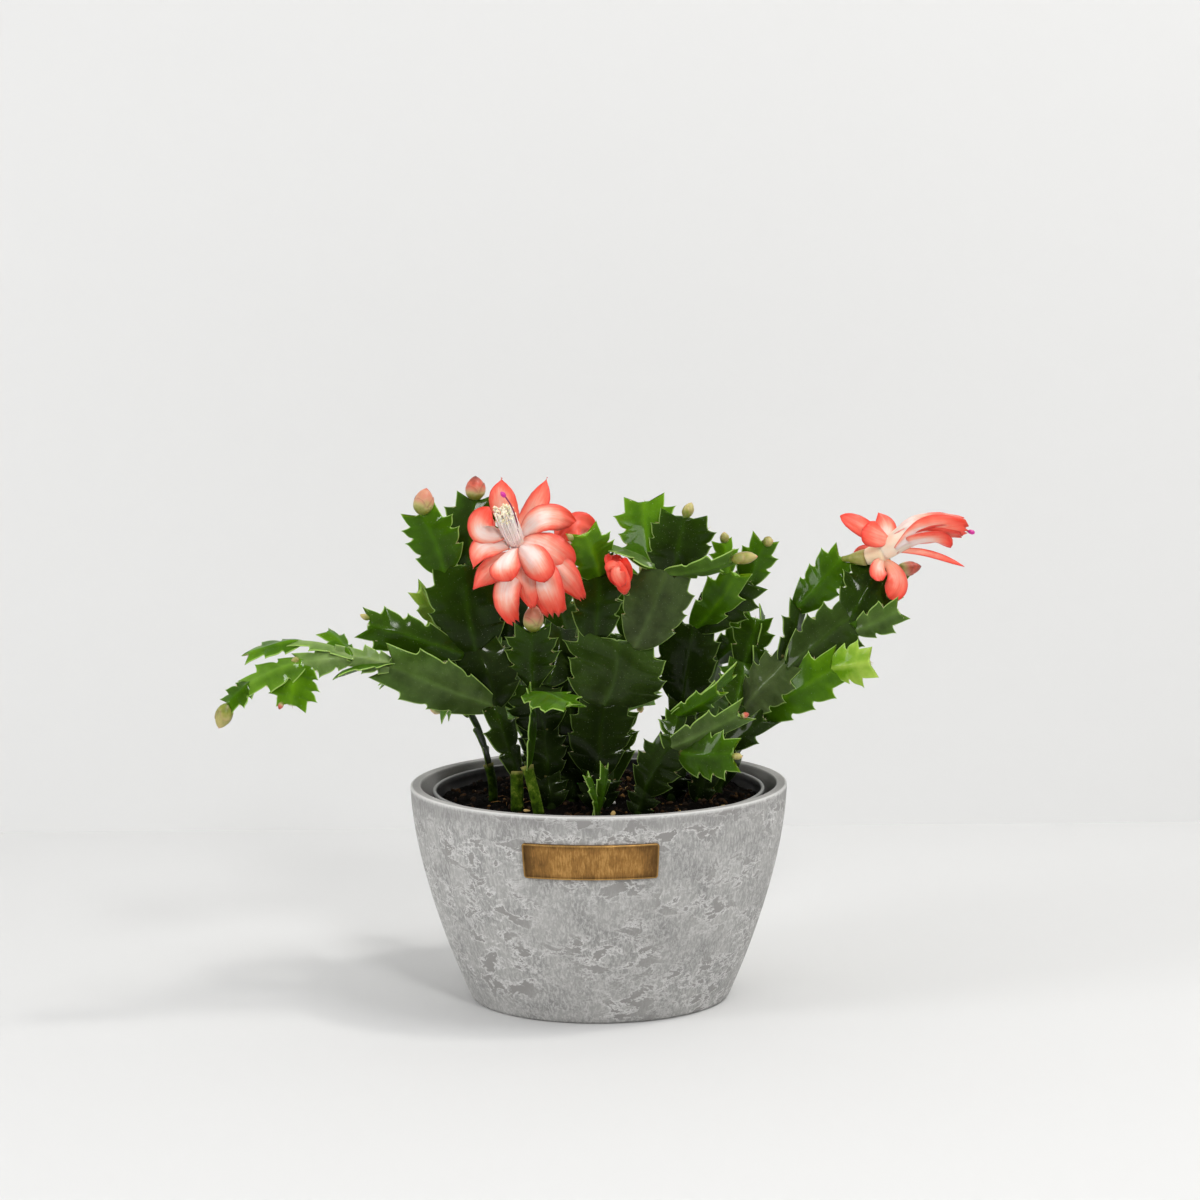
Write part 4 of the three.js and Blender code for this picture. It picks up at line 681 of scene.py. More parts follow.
def moulded_plastic():
    """Black polypropylene, injection moulded: satin, nearly black, with a faint orange-peel skin and dust."""
    material, tree = new_finish("moulded_polypropylene", {"IOR": 1.49})
    lip_highlight = painted(tree)[0]
    place = add_node(tree, "TexCoord", {})["Object"]
    peel = add_node(tree, "TexNoise", {"Scale": per_metre(0.8), "Detail": 2, "Vector": place})[0]
    dust = add_node(tree, "TexNoise", {"Scale": per_metre(7), "Detail": 5, "Roughness": 0.7,
                                       "Vector": place})[0]
    colour = add_node(tree, "ValToRGB", {"Fac": dust, "stops": [(0.4, "#1A1A1A"), (0.75, "#3A3734")]})[0]
    # The lighter grey on the grow pot's rolled lip is a painted highlight
    colour = lay_over(tree, colour, [("#8E8E8B", 1, lip_highlight)])
    return join_shader(material, colour, (peel, 0.02, 0.4), (dust, 0.32, 0.55))


def potting_mix():
    """Peat and composted bark, loose: very dark brown crumbs that take almost no shine."""
    material, tree = new_finish("peat_potting_mix", {"Roughness": 0.95, "Specular IOR Level": 0.05})
    place = add_node(tree, "TexCoord", {})["Object"]
    crumbs = add_node(tree, "TexVoronoi", {"Scale": per_metre(1.6), "Vector": place})["Distance"]
    grit = add_node(tree, "TexNoise", {"Scale": per_metre(1), "Detail": 5, "Roughness": 0.75,
                                       "Vector": place})[0]
    colour = add_node(tree, "ValToRGB", {"Fac": grit, "stops": [
        (0.3, "#040302"), (0.58, "#0B0805"), (0.72, "#170F09"), (0.82, "#352413"),
    ]})[0]
    return join_shader(material, colour, (vary(tree, grit, crumbs, 1), 0.6, 0.9))


def bark_chip():
    """Broken pine bark and fibre: tan to rust brown, each chip of its own shade."""
    material, tree = new_finish("pine_bark_chip", {"Roughness": 0.85, "Specular IOR Level": 0.15})
    place = add_node(tree, "TexCoord", {})["Object"]
    grain = add_node(tree, "TexNoise", {"Scale": per_metre(0.6), "Detail": 3, "Vector": place})[0]
    colour = add_node(tree, "ValToRGB", {"Fac": vary(tree, painted(tree)[0], grain, 0.3), "stops": [
        (0.15, "#150E08"), (0.45, "#36230F"), (0.75, "#76552B"), (1, "#C8A96C"),
    ]})[0]
    return join_shader(material, colour, (grain, 0.2, 0.6))


def perlite():
    """Expanded volcanic glass: chalky white crumbs with pits."""
    material, tree = new_finish("expanded_perlite", {"Roughness": 0.9})
    place = add_node(tree, "TexCoord", {})["Object"]
    pits = add_node(tree, "TexVoronoi", {"Scale": per_metre(0.5), "Vector": place})["Distance"]
    colour = add_node(tree, "ValToRGB", {"Fac": pits, "stops": [(0.1, "#B9B2A4"), (0.5, "#F1EEE6")]})[0]
    return join_shader(material, colour, (pits, 0.25, 0.7))


def leaf_skin():
    """Waxy skin of a flat cactus stem: deep green, a painted soft grey sheen, a lighter rib and a thin pale
    edge of painted rim light.
    """
    material, tree = new_finish("waxy_leaf_skin", {
        "Specular IOR Level": 0.16, "Specular Tint": linear(GREEN_GLOSS), "Subsurface Weight": 0.15,
        "Subsurface Scale": 1.5 * MM, "Subsurface Radius": (0.5, 1, 0.1), "Coat Weight": 0.18,
        "Coat Roughness": 0.1,
    })
    tone, edge, rib, grey_sheen = painted(tree)
    place = add_node(tree, "Attribute", {"attribute_name": "place"})["Vector"]
    # Its cells and pale dots are too fine to show, so they are drawn 1.1 and 0.55 mm wide
    cloud, cells, specks = (
        add_node(tree, "TexNoise", {"Scale": per_metre(size), "Detail": detail, "Roughness": rough,
                                    "Vector": place})[0]
        for size, detail, rough in ((9, 3, 0.55), (1.1, 4, 0.6), (0.55, 1, 0.5))
    )
    specks = add_node(tree, "ValToRGB", {"Fac": specks, "stops": [(0.7, 0), (0.78, 1)]})[0]
    # Each leaf's tone is partly painted shade and painted light
    shade = vary(tree, vary(tree, tone, cloud, 0.3, 0.5), rib, 0.2)
    colour = add_node(tree, "ValToRGB", {"Fac": shade, "stops": [
        (0, "#0C1305"), (0.2, "#182506"), (0.4, "#273F06"), (0.6, "#3E6506"), (0.8, "#659312"),
        (1, "#B4CE58"),
    ]})[0]
    # A painted grey sheen on some leaves, in streaks and stronger along the rib
    streak = add_node(tree, "MapRange", {"Value": cloud, "From Min": 0.3, "From Max": 0.7, "To Min": 0.35})[0]
    grey_sheen = add_node(tree, "Math", {"operation": "MULTIPLY", 0: grey_sheen, 1: vary(tree, streak, rib, 0.55)})[0]
    # The pale edge is painted rim light
    colour = lay_over(tree, colour, [("#93A36E", 1, grey_sheen), ("#A6C768", 0.8, edge), ("#C9D6B4", 0.16, specks)])
    return join_shader(material, colour, (vary(tree, cloud, cells, 0.35), 0.5, 0.55), (cloud, 0.3, 0.52))


def corky_stem():
    """Old stem gone woody: olive green skin with tan corky patches and a pale ring at each joint."""
    material, tree = new_finish("corky_old_stem", {
        "Roughness": 0.6, "Specular IOR Level": 0.12, "Specular Tint": linear(GREEN_GLOSS),
    })
    tone, ring, _, _ = painted(tree)
    place = add_node(tree, "TexCoord", {})["Object"]
    cork = add_node(tree, "TexNoise", {"Scale": per_metre(3), "Detail": 5, "Roughness": 0.65,
                                       "Vector": place})[0]
    colour = add_node(tree, "ValToRGB", {"Fac": vary(tree, cork, tone, 0.55), "stops": [
        (0.45, "#0D1505"), (0.64, "#203208"), (0.8, "#3B530E"), (0.95, "#67762A"),
    ]})[0]
    colour = lay_over(tree, colour, [("#8E8450", 0.8, ring)])
    return join_shader(material, colour, (cork, 0.3, 0.6))


def areole_hair():
    """Dry bristles in the notches and joints: straw to pale tan."""
    material, tree = new_finish("areole_bristle", {"Roughness": 0.55})
    place = add_node(tree, "TexCoord", {})["Object"]
    change = add_node(tree, "TexNoise", {"Scale": per_metre(5), "Vector": place})[0]
    colour = add_node(tree, "ValToRGB", {"Fac": change, "stops": [(0.35, "#A58A58"), (0.65, "#E4D7B0")]})[0]
    return join_shader(material, colour)


def petal_skin():
    """Thin moist petal: white-pink in its middle, coral outwards, red at tip and edges, fine long veins."""
    material, tree = new_finish("coral_petal", {
        "Roughness": 0.42, "IOR": 1.38, "Subsurface Weight": 0.35, "Subsurface Scale": 1.4 * MM,
        "Subsurface Radius": (1, 0.7, 0.6), "Sheen Weight": 0.1,
    })
    heat, edge, base, _ = painted(tree)
    place = add_node(tree, "Attribute", {"attribute_name": "place"})["Vector"]
    # Veins about 0.4 mm apart are too fine to show, so they are drawn 0.9 mm apart
    long = add_node(tree, "Mapping", {"Scale": (0.1, 1, 1), "Vector": place})[0]
    veins = add_node(tree, "TexNoise", {"Scale": per_metre(0.9), "Detail": 4, "Roughness": 0.6,
                                        "Vector": long})[0]
    cloud = add_node(tree, "TexNoise", {"Scale": per_metre(5), "Detail": 3, "Vector": place})[0]
    shade = vary(tree, vary(tree, heat, cloud, 0.26, 0.5), veins, 0.34, 0.5)
    colour = add_node(tree, "ValToRGB", {"Fac": shade, "stops": [
        (0.05, "#FFF0EA"), (0.26, "#FFDAD0"), (0.44, "#FFAC96"), (0.68, "#FF7059"), (1, "#F23A28"),
    ]})[0]
    colour = lay_over(tree, colour, [("#F3DDB4", 1, base), ("#B53A32", 0.45, edge)])
    return join_shader(material, colour, (veins, 0.1, 0.35))


def stamen_thread():
    """Stamen filaments and the pollen grains on their ends: near-white threads, cream-yellow heads."""
    material, tree = new_finish("stamen_thread", {
        "Roughness": 0.5, "Subsurface Weight": 0.15, "Subsurface Scale": 0.6 * MM,
    })
    place = add_node(tree, "TexCoord", {})["Object"]
    # Pollen is too fine to show, so its grain is drawn 0.5 mm wide
    grain = add_node(tree, "TexNoise", {"Scale": per_metre(0.5), "Vector": place})[0]
    colour = add_node(tree, "ValToRGB", {"Fac": vary(tree, painted(tree)[0], grain, 0.3, 0.5), "stops": [
        (0, "#FFF4F2"), (0.5, "#FFFAEE"), (0.8, "#FBF0C8"), (1, "#F0DCA0"),
    ]})[0]
    return join_shader(material, colour, (grain, 0.1, 0.5))


def magenta_style():
    """Style and stigma: smooth dark magenta thread that ends in a bright sticky knob."""
    material, tree = new_finish("magenta_style", {"Roughness": 0.35, "Coat Weight": 0.3})
    place = add_node(tree, "TexCoord", {})["Object"]
    grain = add_node(tree, "TexNoise", {"Scale": per_metre(0.6), "Vector": place})[0]
    colour = lay_over(tree, "#7A1038", [("#D81C9C", 1, painted(tree)[0])])
    return join_shader(material, colour, (grain, 0.08, 0.5))


def bud_skin():
    """Skin of ovaries and closed buds: yellow-green at the seat, cream, then pink-coral with a dark point."""
    material, tree = new_finish("bud_skin", {
        "Roughness": 0.4, "IOR": 1.42, "Subsurface Weight": 0.25, "Subsurface Scale": 1.5 * MM,
        "Subsurface Radius": (1, 0.6, 0.35),
    })
    heat, edge, _, _ = painted(tree)
    place = add_node(tree, "TexCoord", {})["Object"]
    cloud = add_node(tree, "TexNoise", {"Scale": per_metre(2.5), "Detail": 4, "Vector": place})[0]
    colour = add_node(tree, "ValToRGB", {"Fac": vary(tree, heat, cloud, 0.3, 0.5), "stops": [
        (0, "#5C7119"), (0.2, "#858B33"), (0.4, "#BDB070"), (0.6, "#D09474"), (0.85, "#CE5E48"),
        (1, "#77382F"),
    ]})[0]
    colour = lay_over(tree, colour, [("#9C6A4C", 0.5, edge)])
    return join_shader(material, colour, (cloud, 0.15, 0.5))


def painted_board(name, tone):
    """Matt painted board of the studio's floor or wall. From behind, it lets the camera see through."""
    material, tree = new_finish(name, {"Base Color": linear(tone), "Roughness": 0.9})
    behind = add_node(tree, "NewGeometry", {})["Backfacing"]
    clear = add_node(tree, "BsdfTransparent", {})[0]
    board = tree.nodes["Principled BSDF"].outputs[0]
    mixed = add_node(tree, "MixShader", {0: behind, 1: board, 2: clear})[0]
    tree.links.new(mixed, tree.nodes["Material Output"].inputs["Surface"])
    return material


class Heap:
    """Points in millimetres, faces, paint and place of a piece, gathered bit by bit."""

    def __init__(self):
        self.points, self.faces, self.paint, self.place, self.kinds = [], [], [], [], []
        self.count = 0

    def add(self, points, faces, paint, place=None, kind=0):
        points = np.asarray(points, float)
        self.points.append(points)
        self.faces.extend(tuple(int(i) + self.count for i in face) for face in faces)
        self.paint.append(np.broadcast_to(np.asarray(paint, float), (len(points), 4)))
        self.place.append(points if place is None else np.asarray(place, float))
        self.kinds.extend([kind] * len(faces))
        self.count += len(points)


def make_piece(name, heap, materials, nodes=()):
    """Makes a smooth piece of a heap. It rides on the root body and stands for its CAD nodes."""
    mesh = bpy.data.meshes.new(name)
    mesh.from_pydata((np.concatenate(heap.points) * MM).tolist(), [], heap.faces)
    paint = mesh.attributes.new("paint", "FLOAT_COLOR", "POINT")
    paint.data.foreach_set("color", np.concatenate(heap.paint).astype(np.float32).ravel())
    place = mesh.attributes.new("place", "FLOAT_VECTOR", "POINT")
    place.data.foreach_set("vector", (np.concatenate(heap.place) * MM).astype(np.float32).ravel())
    for material in materials:
        mesh.materials.append(finishes[material])
    mesh.polygons.foreach_set("material_index", heap.kinds)
    mesh.polygons.foreach_set("use_smooth", [True] * len(heap.faces))
    mesh.validate()
    piece = bpy.data.objects.new(name, mesh)
    bpy.context.scene.collection.objects.link(piece)
    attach(piece, "root")
    if nodes:
        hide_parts(*nodes)


def unit(vector):
    """The direction of a vector, one long."""
    return vector / np.linalg.norm(vector)


def square_to(vector, axis):
    """The direction of what is left of a vector without its part along an axis."""
    return unit(vector - axis * np.dot(vector, axis))


def smooth_step(low, high, value):
    """A share that rises smoothly from 0 at the low value to 1 at the high one."""
    share = np.clip((value - low) / (high - low), 0, 1)
    return share * share * (3 - 2 * share)


def arc(start, middle, end, t):
    """Points on a curve from start to end that is drawn towards a middle point."""
    return (1 - t) ** 2 * start + 2 * (1 - t) * t * middle + t ** 2 * end


def bezier(start, first, second, end, steps):
    """Points on a curve with two handles, without its end."""
    t = np.arange(steps)[:, None] / steps
    start, first, second, end = (np.array(p, float) for p in (start, first, second, end))
    return (1 - t) ** 3 * start + 3 * (1 - t) ** 2 * t * first + 3 * (1 - t) * t ** 2 * second + t ** 3 * end


def ring_points(radius, sides, height=0.0, offset=0.0):
    """Points on a circle about +Z, turned by a share of one side."""
    angles = 2 * math.pi * (np.arange(sides) + offset) / sides
    return np.column_stack([radius * np.cos(angles), radius * np.sin(angles), np.full(sides, height)])


def grid_faces(rows, columns, wrap=False):
    """Faces of a grid of points, counted row by row."""
    faces = []
    for i in range(rows - 1):
        for j in range(columns if wrap else columns - 1):
            a, b = i * columns + j, i * columns + (j + 1) % columns
            faces.append((a, b, b + columns, a + columns))
    return faces


def turned_over(faces, start=0):
    """Faces that look the other way, on points that are counted from a start."""
    return [tuple(start + i for i in face[::-1]) for face in faces]


def closed_tube(rows, sides):
    """Faces of a tube of rings with a flat end on each of its two last rings."""
    last = (rows - 1) * sides
    return grid_faces(rows, sides, wrap=True) + [tuple(range(sides))[::-1], tuple(range(last, last + sides))]


def border(rows, columns):
    """The points round the edge of a grid, in order."""
    loop = list(range(columns)) + [i * columns + columns - 1 for i in range(1, rows)]
    loop += [(rows - 1) * columns + j for j in range(columns - 2, -1, -1)]
    return loop + [i * columns for i in range(rows - 2, 0, -1)]


def strip(first, second):
    """Faces between two closed loops of points."""
    first, second = list(first), list(second)
    return list(zip(first, second, second[1:] + second[:1], first[1:] + first[:1]))


def sweep(heap, path, radii, sides, paint, kind=0, flat=1.0, across=None):
    """A closed tube along a path, with a radius and a paint for each of its points, or one paint for all."""
    path = np.asarray(path, float)
    tangents = np.gradient(path, axis=0)
    tangents /= np.linalg.norm(tangents, axis=1)[:, None]
    side = across if across is not None else np.cross(tangents[0], [0.3, 0.2, 0.93])
    turns = 2 * math.pi * np.arange(sides)[:, None] / sides
    points = []
    for centre, tangent, radius in zip(path, tangents, radii):
        side = square_to(side, tangent)
        other = flat * np.cross(tangent, side)
        points.append(centre + radius * (np.cos(turns) * side + np.sin(turns) * other))
    colours = np.repeat(np.broadcast_to(np.asarray(paint, float), (len(path), 4)), sides, axis=0)
    heap.add(np.concatenate(points), closed_tube(len(path), sides), colours, kind=kind)


def half_outline(corners, width, wedge, shifts):
    """Half a leaf's outline: rows of place along it, reach, and place on the rib, with the teeth's rows.

    From each corner to the next it swings on two handles, set as shares of that step.
    """
    before = (0, NECK_HALF / (width / 2), 0, "neck")
    rows, teeth = [], []
    for (share, reach, rib, kind), (shift, swell) in zip(corners, shifts):
        claw = CLAW if kind == "tooth" else (0, 0)
        reach += swell + claw[1] - 0.3 * wedge * max(0.75 - share, 0)
        corner = (share + shift + claw[0], reach, rib, kind)
        (s0, r0, q0, _), (s1, r1, q1, _) = before, corner
        ds, dr = s1 - s0, r1 - r0
        if kind == "tooth" and before[3] == "neck":
            steps = RISE_STEPS + 2
            first = (s0 + (0.1 + 0.3 * wedge) * ds, r0 + (0.66 - 0.5 * wedge) * dr)
            second = (s1 - 0.34 * ds, r1 - 0.13 - 0.16 * wedge)
        elif kind == "tooth":
            steps = RISE_STEPS
            first, second = (s0 + 0.25 * ds, r0 + 0.75 * dr), (s1 - 0.22 * ds, r1 - 0.48 * dr)
        elif kind == "notch" and r1 < LAST_NOTCH_REACH:
            steps = FALL_STEPS
            first, second = (s0 + 0.75 * ds, r0 - 0.08), (s1, r1 + 0.14)
        elif kind == "notch":
            steps = FALL_STEPS
            first, second = (s0 - 0.012, r0 + 0.55 * dr), (s0 + 0.3 * ds, r1 - 0.015)
        else:
            steps = END_STEPS
            first, second = (s1 - 0.01, r1 + 0.22), (s1, r1 + 0.1)
        if before[3] == "tooth":
            teeth.append(sum(len(row) for row in rows))
        ribs = q0 + (q1 - q0) * np.arange(steps) / steps
        rows.append(np.column_stack([bezier((s0, r0), first, second, (s1, r1), steps), ribs]))
        before = corner
    rows.append(np.array([before[:3]], float))
    return np.concatenate(rows), teeth


def corner_shifts(rng, corners):
    """How far a half leaf's teeth stray from their rule: along it, and to the side."""
    slide = rng.uniform(-0.035, 0.035)
    shifts = []
    for share, _, _, kind in corners:
        if kind == "tooth":
            along = slide * (share < 0.95) + rng.normal(0, 0.012)
            aside = rng.normal(0, 0.05)
        shifts.append((along if kind != "end" else 0, aside * (0.5 if kind == "notch" else kind == "tooth")))
    return shifts


def fine_leaf(heap, leaf, number):
    """One flat stem segment with hooked teeth, a raised rib, soft waves and a thin pale edge of painted rim
    light.
    """
    rng = np.random.default_rng(SEED + number)
    width, length, tone = leaf["width"], leaf["length"], leaf["tone"]
    corners = WIDE_CORNERS if width >= WIDE_WIDTH or leaf["shallow"] else BROAD_CORNERS
    if width < BROAD_WIDTH:
        corners = SLIM_CORNERS if width <= SLIM_WIDTH else MIDDLE_CORNERS
    halves = [half_outline(corners, width, leaf["wedge"], corner_shifts(rng, corners)) for _ in (-1, 1)]
    rows, columns = len(halves[0][0]), 2 * len(ACROSS) - 1
    share, reach, bend = (np.zeros((rows, columns)) for _ in range(3))
    lines = ACROSS.copy()
    lines[-2] = 1 - 2 * RIM_BAND / width
    for side, (outline, teeth) in zip((-1, 1), halves):
        along, aside, rib = (outline[:, k][:, None] for k in range(3))
        half = len(ACROSS) - 1 + side * np.arange(len(ACROSS))
        share[:, half] = rib + (along - rib) * lines
        reach[:, half] = side * aside * lines
        for tooth in teeth:
            near = np.exp(-((np.arange(rows) - tooth) / TOOTH_BEND_ROWS) ** 2)[:, None]
            bend[:, half] += rng.normal(0, TOOTH_BEND) * near * lines ** 2
    across = np.concatenate([lines[::-1], lines[1:]])[None, :]
    aside = reach * width / 2

    # Its height: an arch, a keel, soft waves, bent teeth, and a rib that stands up between two grooves
    phase = rng.uniform(0, 2 * math.pi, 4)
    swing = WAVE * width
    wave = swing * np.abs(reach) * np.sin(phase[0] + 5.5 * share + 1.1 * np.sign(reach))
    wave += 0.35 * swing * np.sin(phase[1] + 8 * share + 3 * reach)
    lift = ARCH * length * 4 * share * (1 - share) - KEEL * np.abs(aside) + wave + bend
    young = 0.6 + 0.4 * smooth_step(0, 0.2, share)
    thick = EDGE_THICK + (RIB_THICK * young - EDGE_THICK) * (1 - across ** 1.8)
    fade = 1 - 0.55 * share
    ridge = fade * RIB_RISE * np.exp(-(aside / RIB_HALF) ** 2)
    groove = 0.4 * fade * RIB_RISE * np.exp(-((np.abs(aside) - 2.4 * RIB_HALF) / RIB_HALF) ** 2)

    # Its paint: tone, partly painted shade and light; a pale edge of painted rim light; rib; and a painted
    # grey sheen
    rim = np.zeros_like(share)
    rim[:, [0, -1]] = 1
    rim[-1, :] = 0.6
    # The painted rim light is faint on leaves whose tone is painted dark with shade
    rim *= min(1, 0.04 + 2.6 * tone)
    soft_rib = fade * np.exp(-(aside / (1.3 * RIB_HALF)) ** 2)
    shade = tone + 0.14 * (share - 0.5) + 0.12 * (across - 0.45)
    paint = np.stack([shade, rim, soft_rib, np.full_like(share, leaf["grey_sheen"])], -1).reshape(-1, 4)
    place = np.stack([share * length, aside, np.full_like(share, LEAF_SPACING * number)], -1).reshape(-1, 3)

    # Its front, its back and a rounded edge between them
    sway = rng.normal(0, SWAY) * width * np.sin(math.pi * np.clip(share, 0, 1))
    flat = leaf["base"] + leaf["along"] * (share * length)[..., None]
    flat = flat + leaf["across"] * (aside + sway)[..., None]
    front, back = (flat + leaf["out"] * (lift + face * (thick / 2 + ridge - groove))[..., None]
                   for face in (1, -1))
    loop = border(rows, columns)
    middle = flat.reshape(-1, 3)[loop] + leaf["out"] * lift.reshape(-1)[loop][:, None]
    outward = middle - flat.mean(axis=(0, 1))
    outward -= leaf["out"] * (outward @ leaf["out"])[:, None]
    middle = middle + EDGE_ROUND * outward / np.linalg.norm(outward, axis=1)[:, None]
    layer = rows * columns
    edge = range(2 * layer, 2 * layer + len(loop))
    faces = grid_faces(rows, columns) + turned_over(grid_faces(rows, columns), layer) + strip(loop, edge)
    faces += turned_over(strip([layer + i for i in loop], edge))
    heap.add(np.concatenate([front.reshape(-1, 3), back.reshape(-1, 3), middle]), faces,
             np.concatenate([paint, paint, paint[loop]]), np.concatenate([place, place, place[loop]]))
    leaf["edge"] = flat[:, [0, -1]] + leaf["out"] * lift[:, [0, -1], None]
    leaf["notches"] = [(teeth, side) for side, (_, teeth) in enumerate(halves)]


def bristles(heap, leaf, number):
    """Short dry hairs in the notches behind the teeth and at the tip."""
    rng = np.random.default_rng(5 * SEED + number)
    edge = leaf["edge"]
    rows = len(edge)
    for teeth, side in leaf["notches"]:
        for tooth in [*teeth, rows - 3]:
            row = min(tooth + FALL_STEPS - 1, rows - 1)
            outward = unit(edge[row, side] - edge[row].mean(axis=0) + 0.6 * leaf["along"])
            for _ in range(rng.integers(0, 3)):
                way = unit(outward + rng.normal(0, 0.35, 3))
                size = rng.uniform(*HAIR_LENGTH)
                start = edge[row, side] - 0.4 * outward + rng.normal(0, 0.25, 3)
                path = [start, start + 0.6 * size * way, start + size * way + rng.normal(0, 0.12, 3)]
                sweep(heap, path, HAIR_RADII, 4, PLAIN, kind=2)


def woody_stem(heap, leaf):
    """An old, narrow segment: an oval stem with a swelling and a pale ring at its top end."""
    share = np.linspace(0, 1, 11)
    radius = WOODY_RADIUS * leaf["width"] * (1 + 0.22 * np.exp(-((1 - share) / 0.08) ** 2))
    path = leaf["base"] + leaf["along"] * (share * leaf["length"])[:, None]
    path += leaf["out"] * (0.8 * np.sin(math.pi * share))[:, None]
    rings = np.exp(-((1 - share) / 0.05) ** 2)
    paint = [(leaf["tone"] + 0.2 * s, ring, 0, 0) for s, ring in zip(share, rings)]
    sweep(heap, path, radius, 12, paint, kind=1, flat=WOODY_FLAT, across=leaf["across"])


def collar(heap, leaf):
    """The corky seat of a leaf on the one that carries it."""
    share = np.linspace(0, 1, 6)
    path = leaf["base"] + leaf["along"] * (0.5 + COLLAR_LENGTH * share)[:, None]
    radius = (NECK_HALF - 0.15) * np.sin(math.pi * (0.12 + 0.76 * share)) ** 0.5
    paint = [(0.1, leaf["cork"] * math.exp(-((s - 0.45) / 0.22) ** 2), 0, 0) for s in share]
    sweep(heap, path, radius, 10, paint, kind=1, flat=COLLAR_FLAT, across=leaf["across"])


def grow(foot, rows):
    """Every leaf of a stem, each from the end of the one that it grows from."""
    grown = {"foot": {"end": np.array([*foot, SOIL_TOP + FOOT_RISE])}}
    for name, parent, tip, width, turn, fork, tone, wedge in rows:
        carrier = grown[parent]
        base = carrier["end"].copy()
        if "across" in carrier:
            base += carrier["across"] * fork * FORK_SPREAD * carrier["width"]
        tip = np.array(tip, float)
        base -= ROOT_SUNK * unit(tip - base)
        along = unit(tip - base)
        out = square_to(FACING, along)
        out = np.array(Matrix.Rotation(math.radians(turn), 3, Vector(along)) @ Vector(out))
        end_share = (SLIM_CORNERS if width <= SLIM_WIDTH else BROAD_CORNERS)[-1][2]
        grown[name] = {
            "base": base, "end": base + (tip - base) * end_share, "length": np.linalg.norm(tip - base),
            "along": along, "out": out, "across": np.cross(along, out), "width": width, "tone": tone,
            "wedge": wedge, "grey_sheen": SHEEN_SHARES.get(name, 0), "shallow": name in SHALLOW,
            "old": width <= WOODY_WIDTH and name in ("woody", "low"),
            "cork": 0 if parent == "foot" else JOINT_CORK,
        }
    return grown


def dress_stems(stems):
    """Each stem's leaves, old wood, joints and bristles, in place of its CAD node."""
    number = 0
    for name, grown in stems.items():
        heap = Heap()
        foot = grown["foot"]["end"]
        sweep(heap, [foot + (0, 0, rise) for rise in FOOT_HEIGHTS], FOOT_RADII, 12,
              [(shade, 0, 0, 0) for shade in (-0.1, -0.1, 0)], kind=1)
        for leaf_name, leaf in grown.items():
            if leaf_name == "foot":
                continue
            number += 1
            if leaf["old"]:
                woody_stem(heap, leaf)
            else:
                fine_leaf(heap, leaf, number)
                collar(heap, leaf)
                bristles(heap, leaf, number)
        make_piece(f"{name}_leaves", heap, ["leaf", "wood", "hair"], [name])


def bud_shade(share, heat):
    """How far a bud has turned from green to coral at a share of its length."""
    return 0.1 + 0.22 * share + 0.68 * heat * smooth_step(0.05, 0.7, share)


def bud_body(heap, start, tip, width, heat):
    """A closed bud: a pointed oval under overlapping scales."""
    along = unit(tip - start)
    length = np.linalg.norm(tip - start)
    side = unit(np.cross(along, [0.2, 0.9, 0.3]))
    other = np.cross(along, side)
    share = np.linspace(0, 1, BUD_ROWS)
    radii = np.interp(share, *BUD_PROFILE) * width / 2
    paint = [(bud_shade(s, heat) + 0.3 * smooth_step(0.93, 1, s), 0, 0, 0) for s in share]
    sweep(heap, start + along * (share * length)[:, None], radii, BUD_SIDES, paint, across=side)
    for turn, reach, spread in BUD_SCALES:
        begin = 0.02 if reach < 0.5 else 0.18
        points, colours = [], []
        for s in np.linspace(begin, reach, SCALE_ROWS):
            inner = (s - begin) / (reach - begin)
            half = math.radians(spread) * math.sqrt(max(1 - inner ** 2.2, 0.0009))
            for k in np.linspace(-1, 1, SCALE_COLUMNS):
                angle = math.radians(turn) + k * half
                way = math.cos(angle) * side + math.sin(angle) * other
                swell = 0.035 * (1 - 0.7 * abs(k) ** 3) + 0.01 * inner
                points.append(start + along * s * length + (np.interp(s, share, radii) + swell * width) * way)
                colours.append((bud_shade(s, heat) + 0.08 * inner, max(abs(k) ** 8, inner ** 10), 0, 0))
        heap.add(points, grid_faces(SCALE_ROWS, SCALE_COLUMNS), colours)


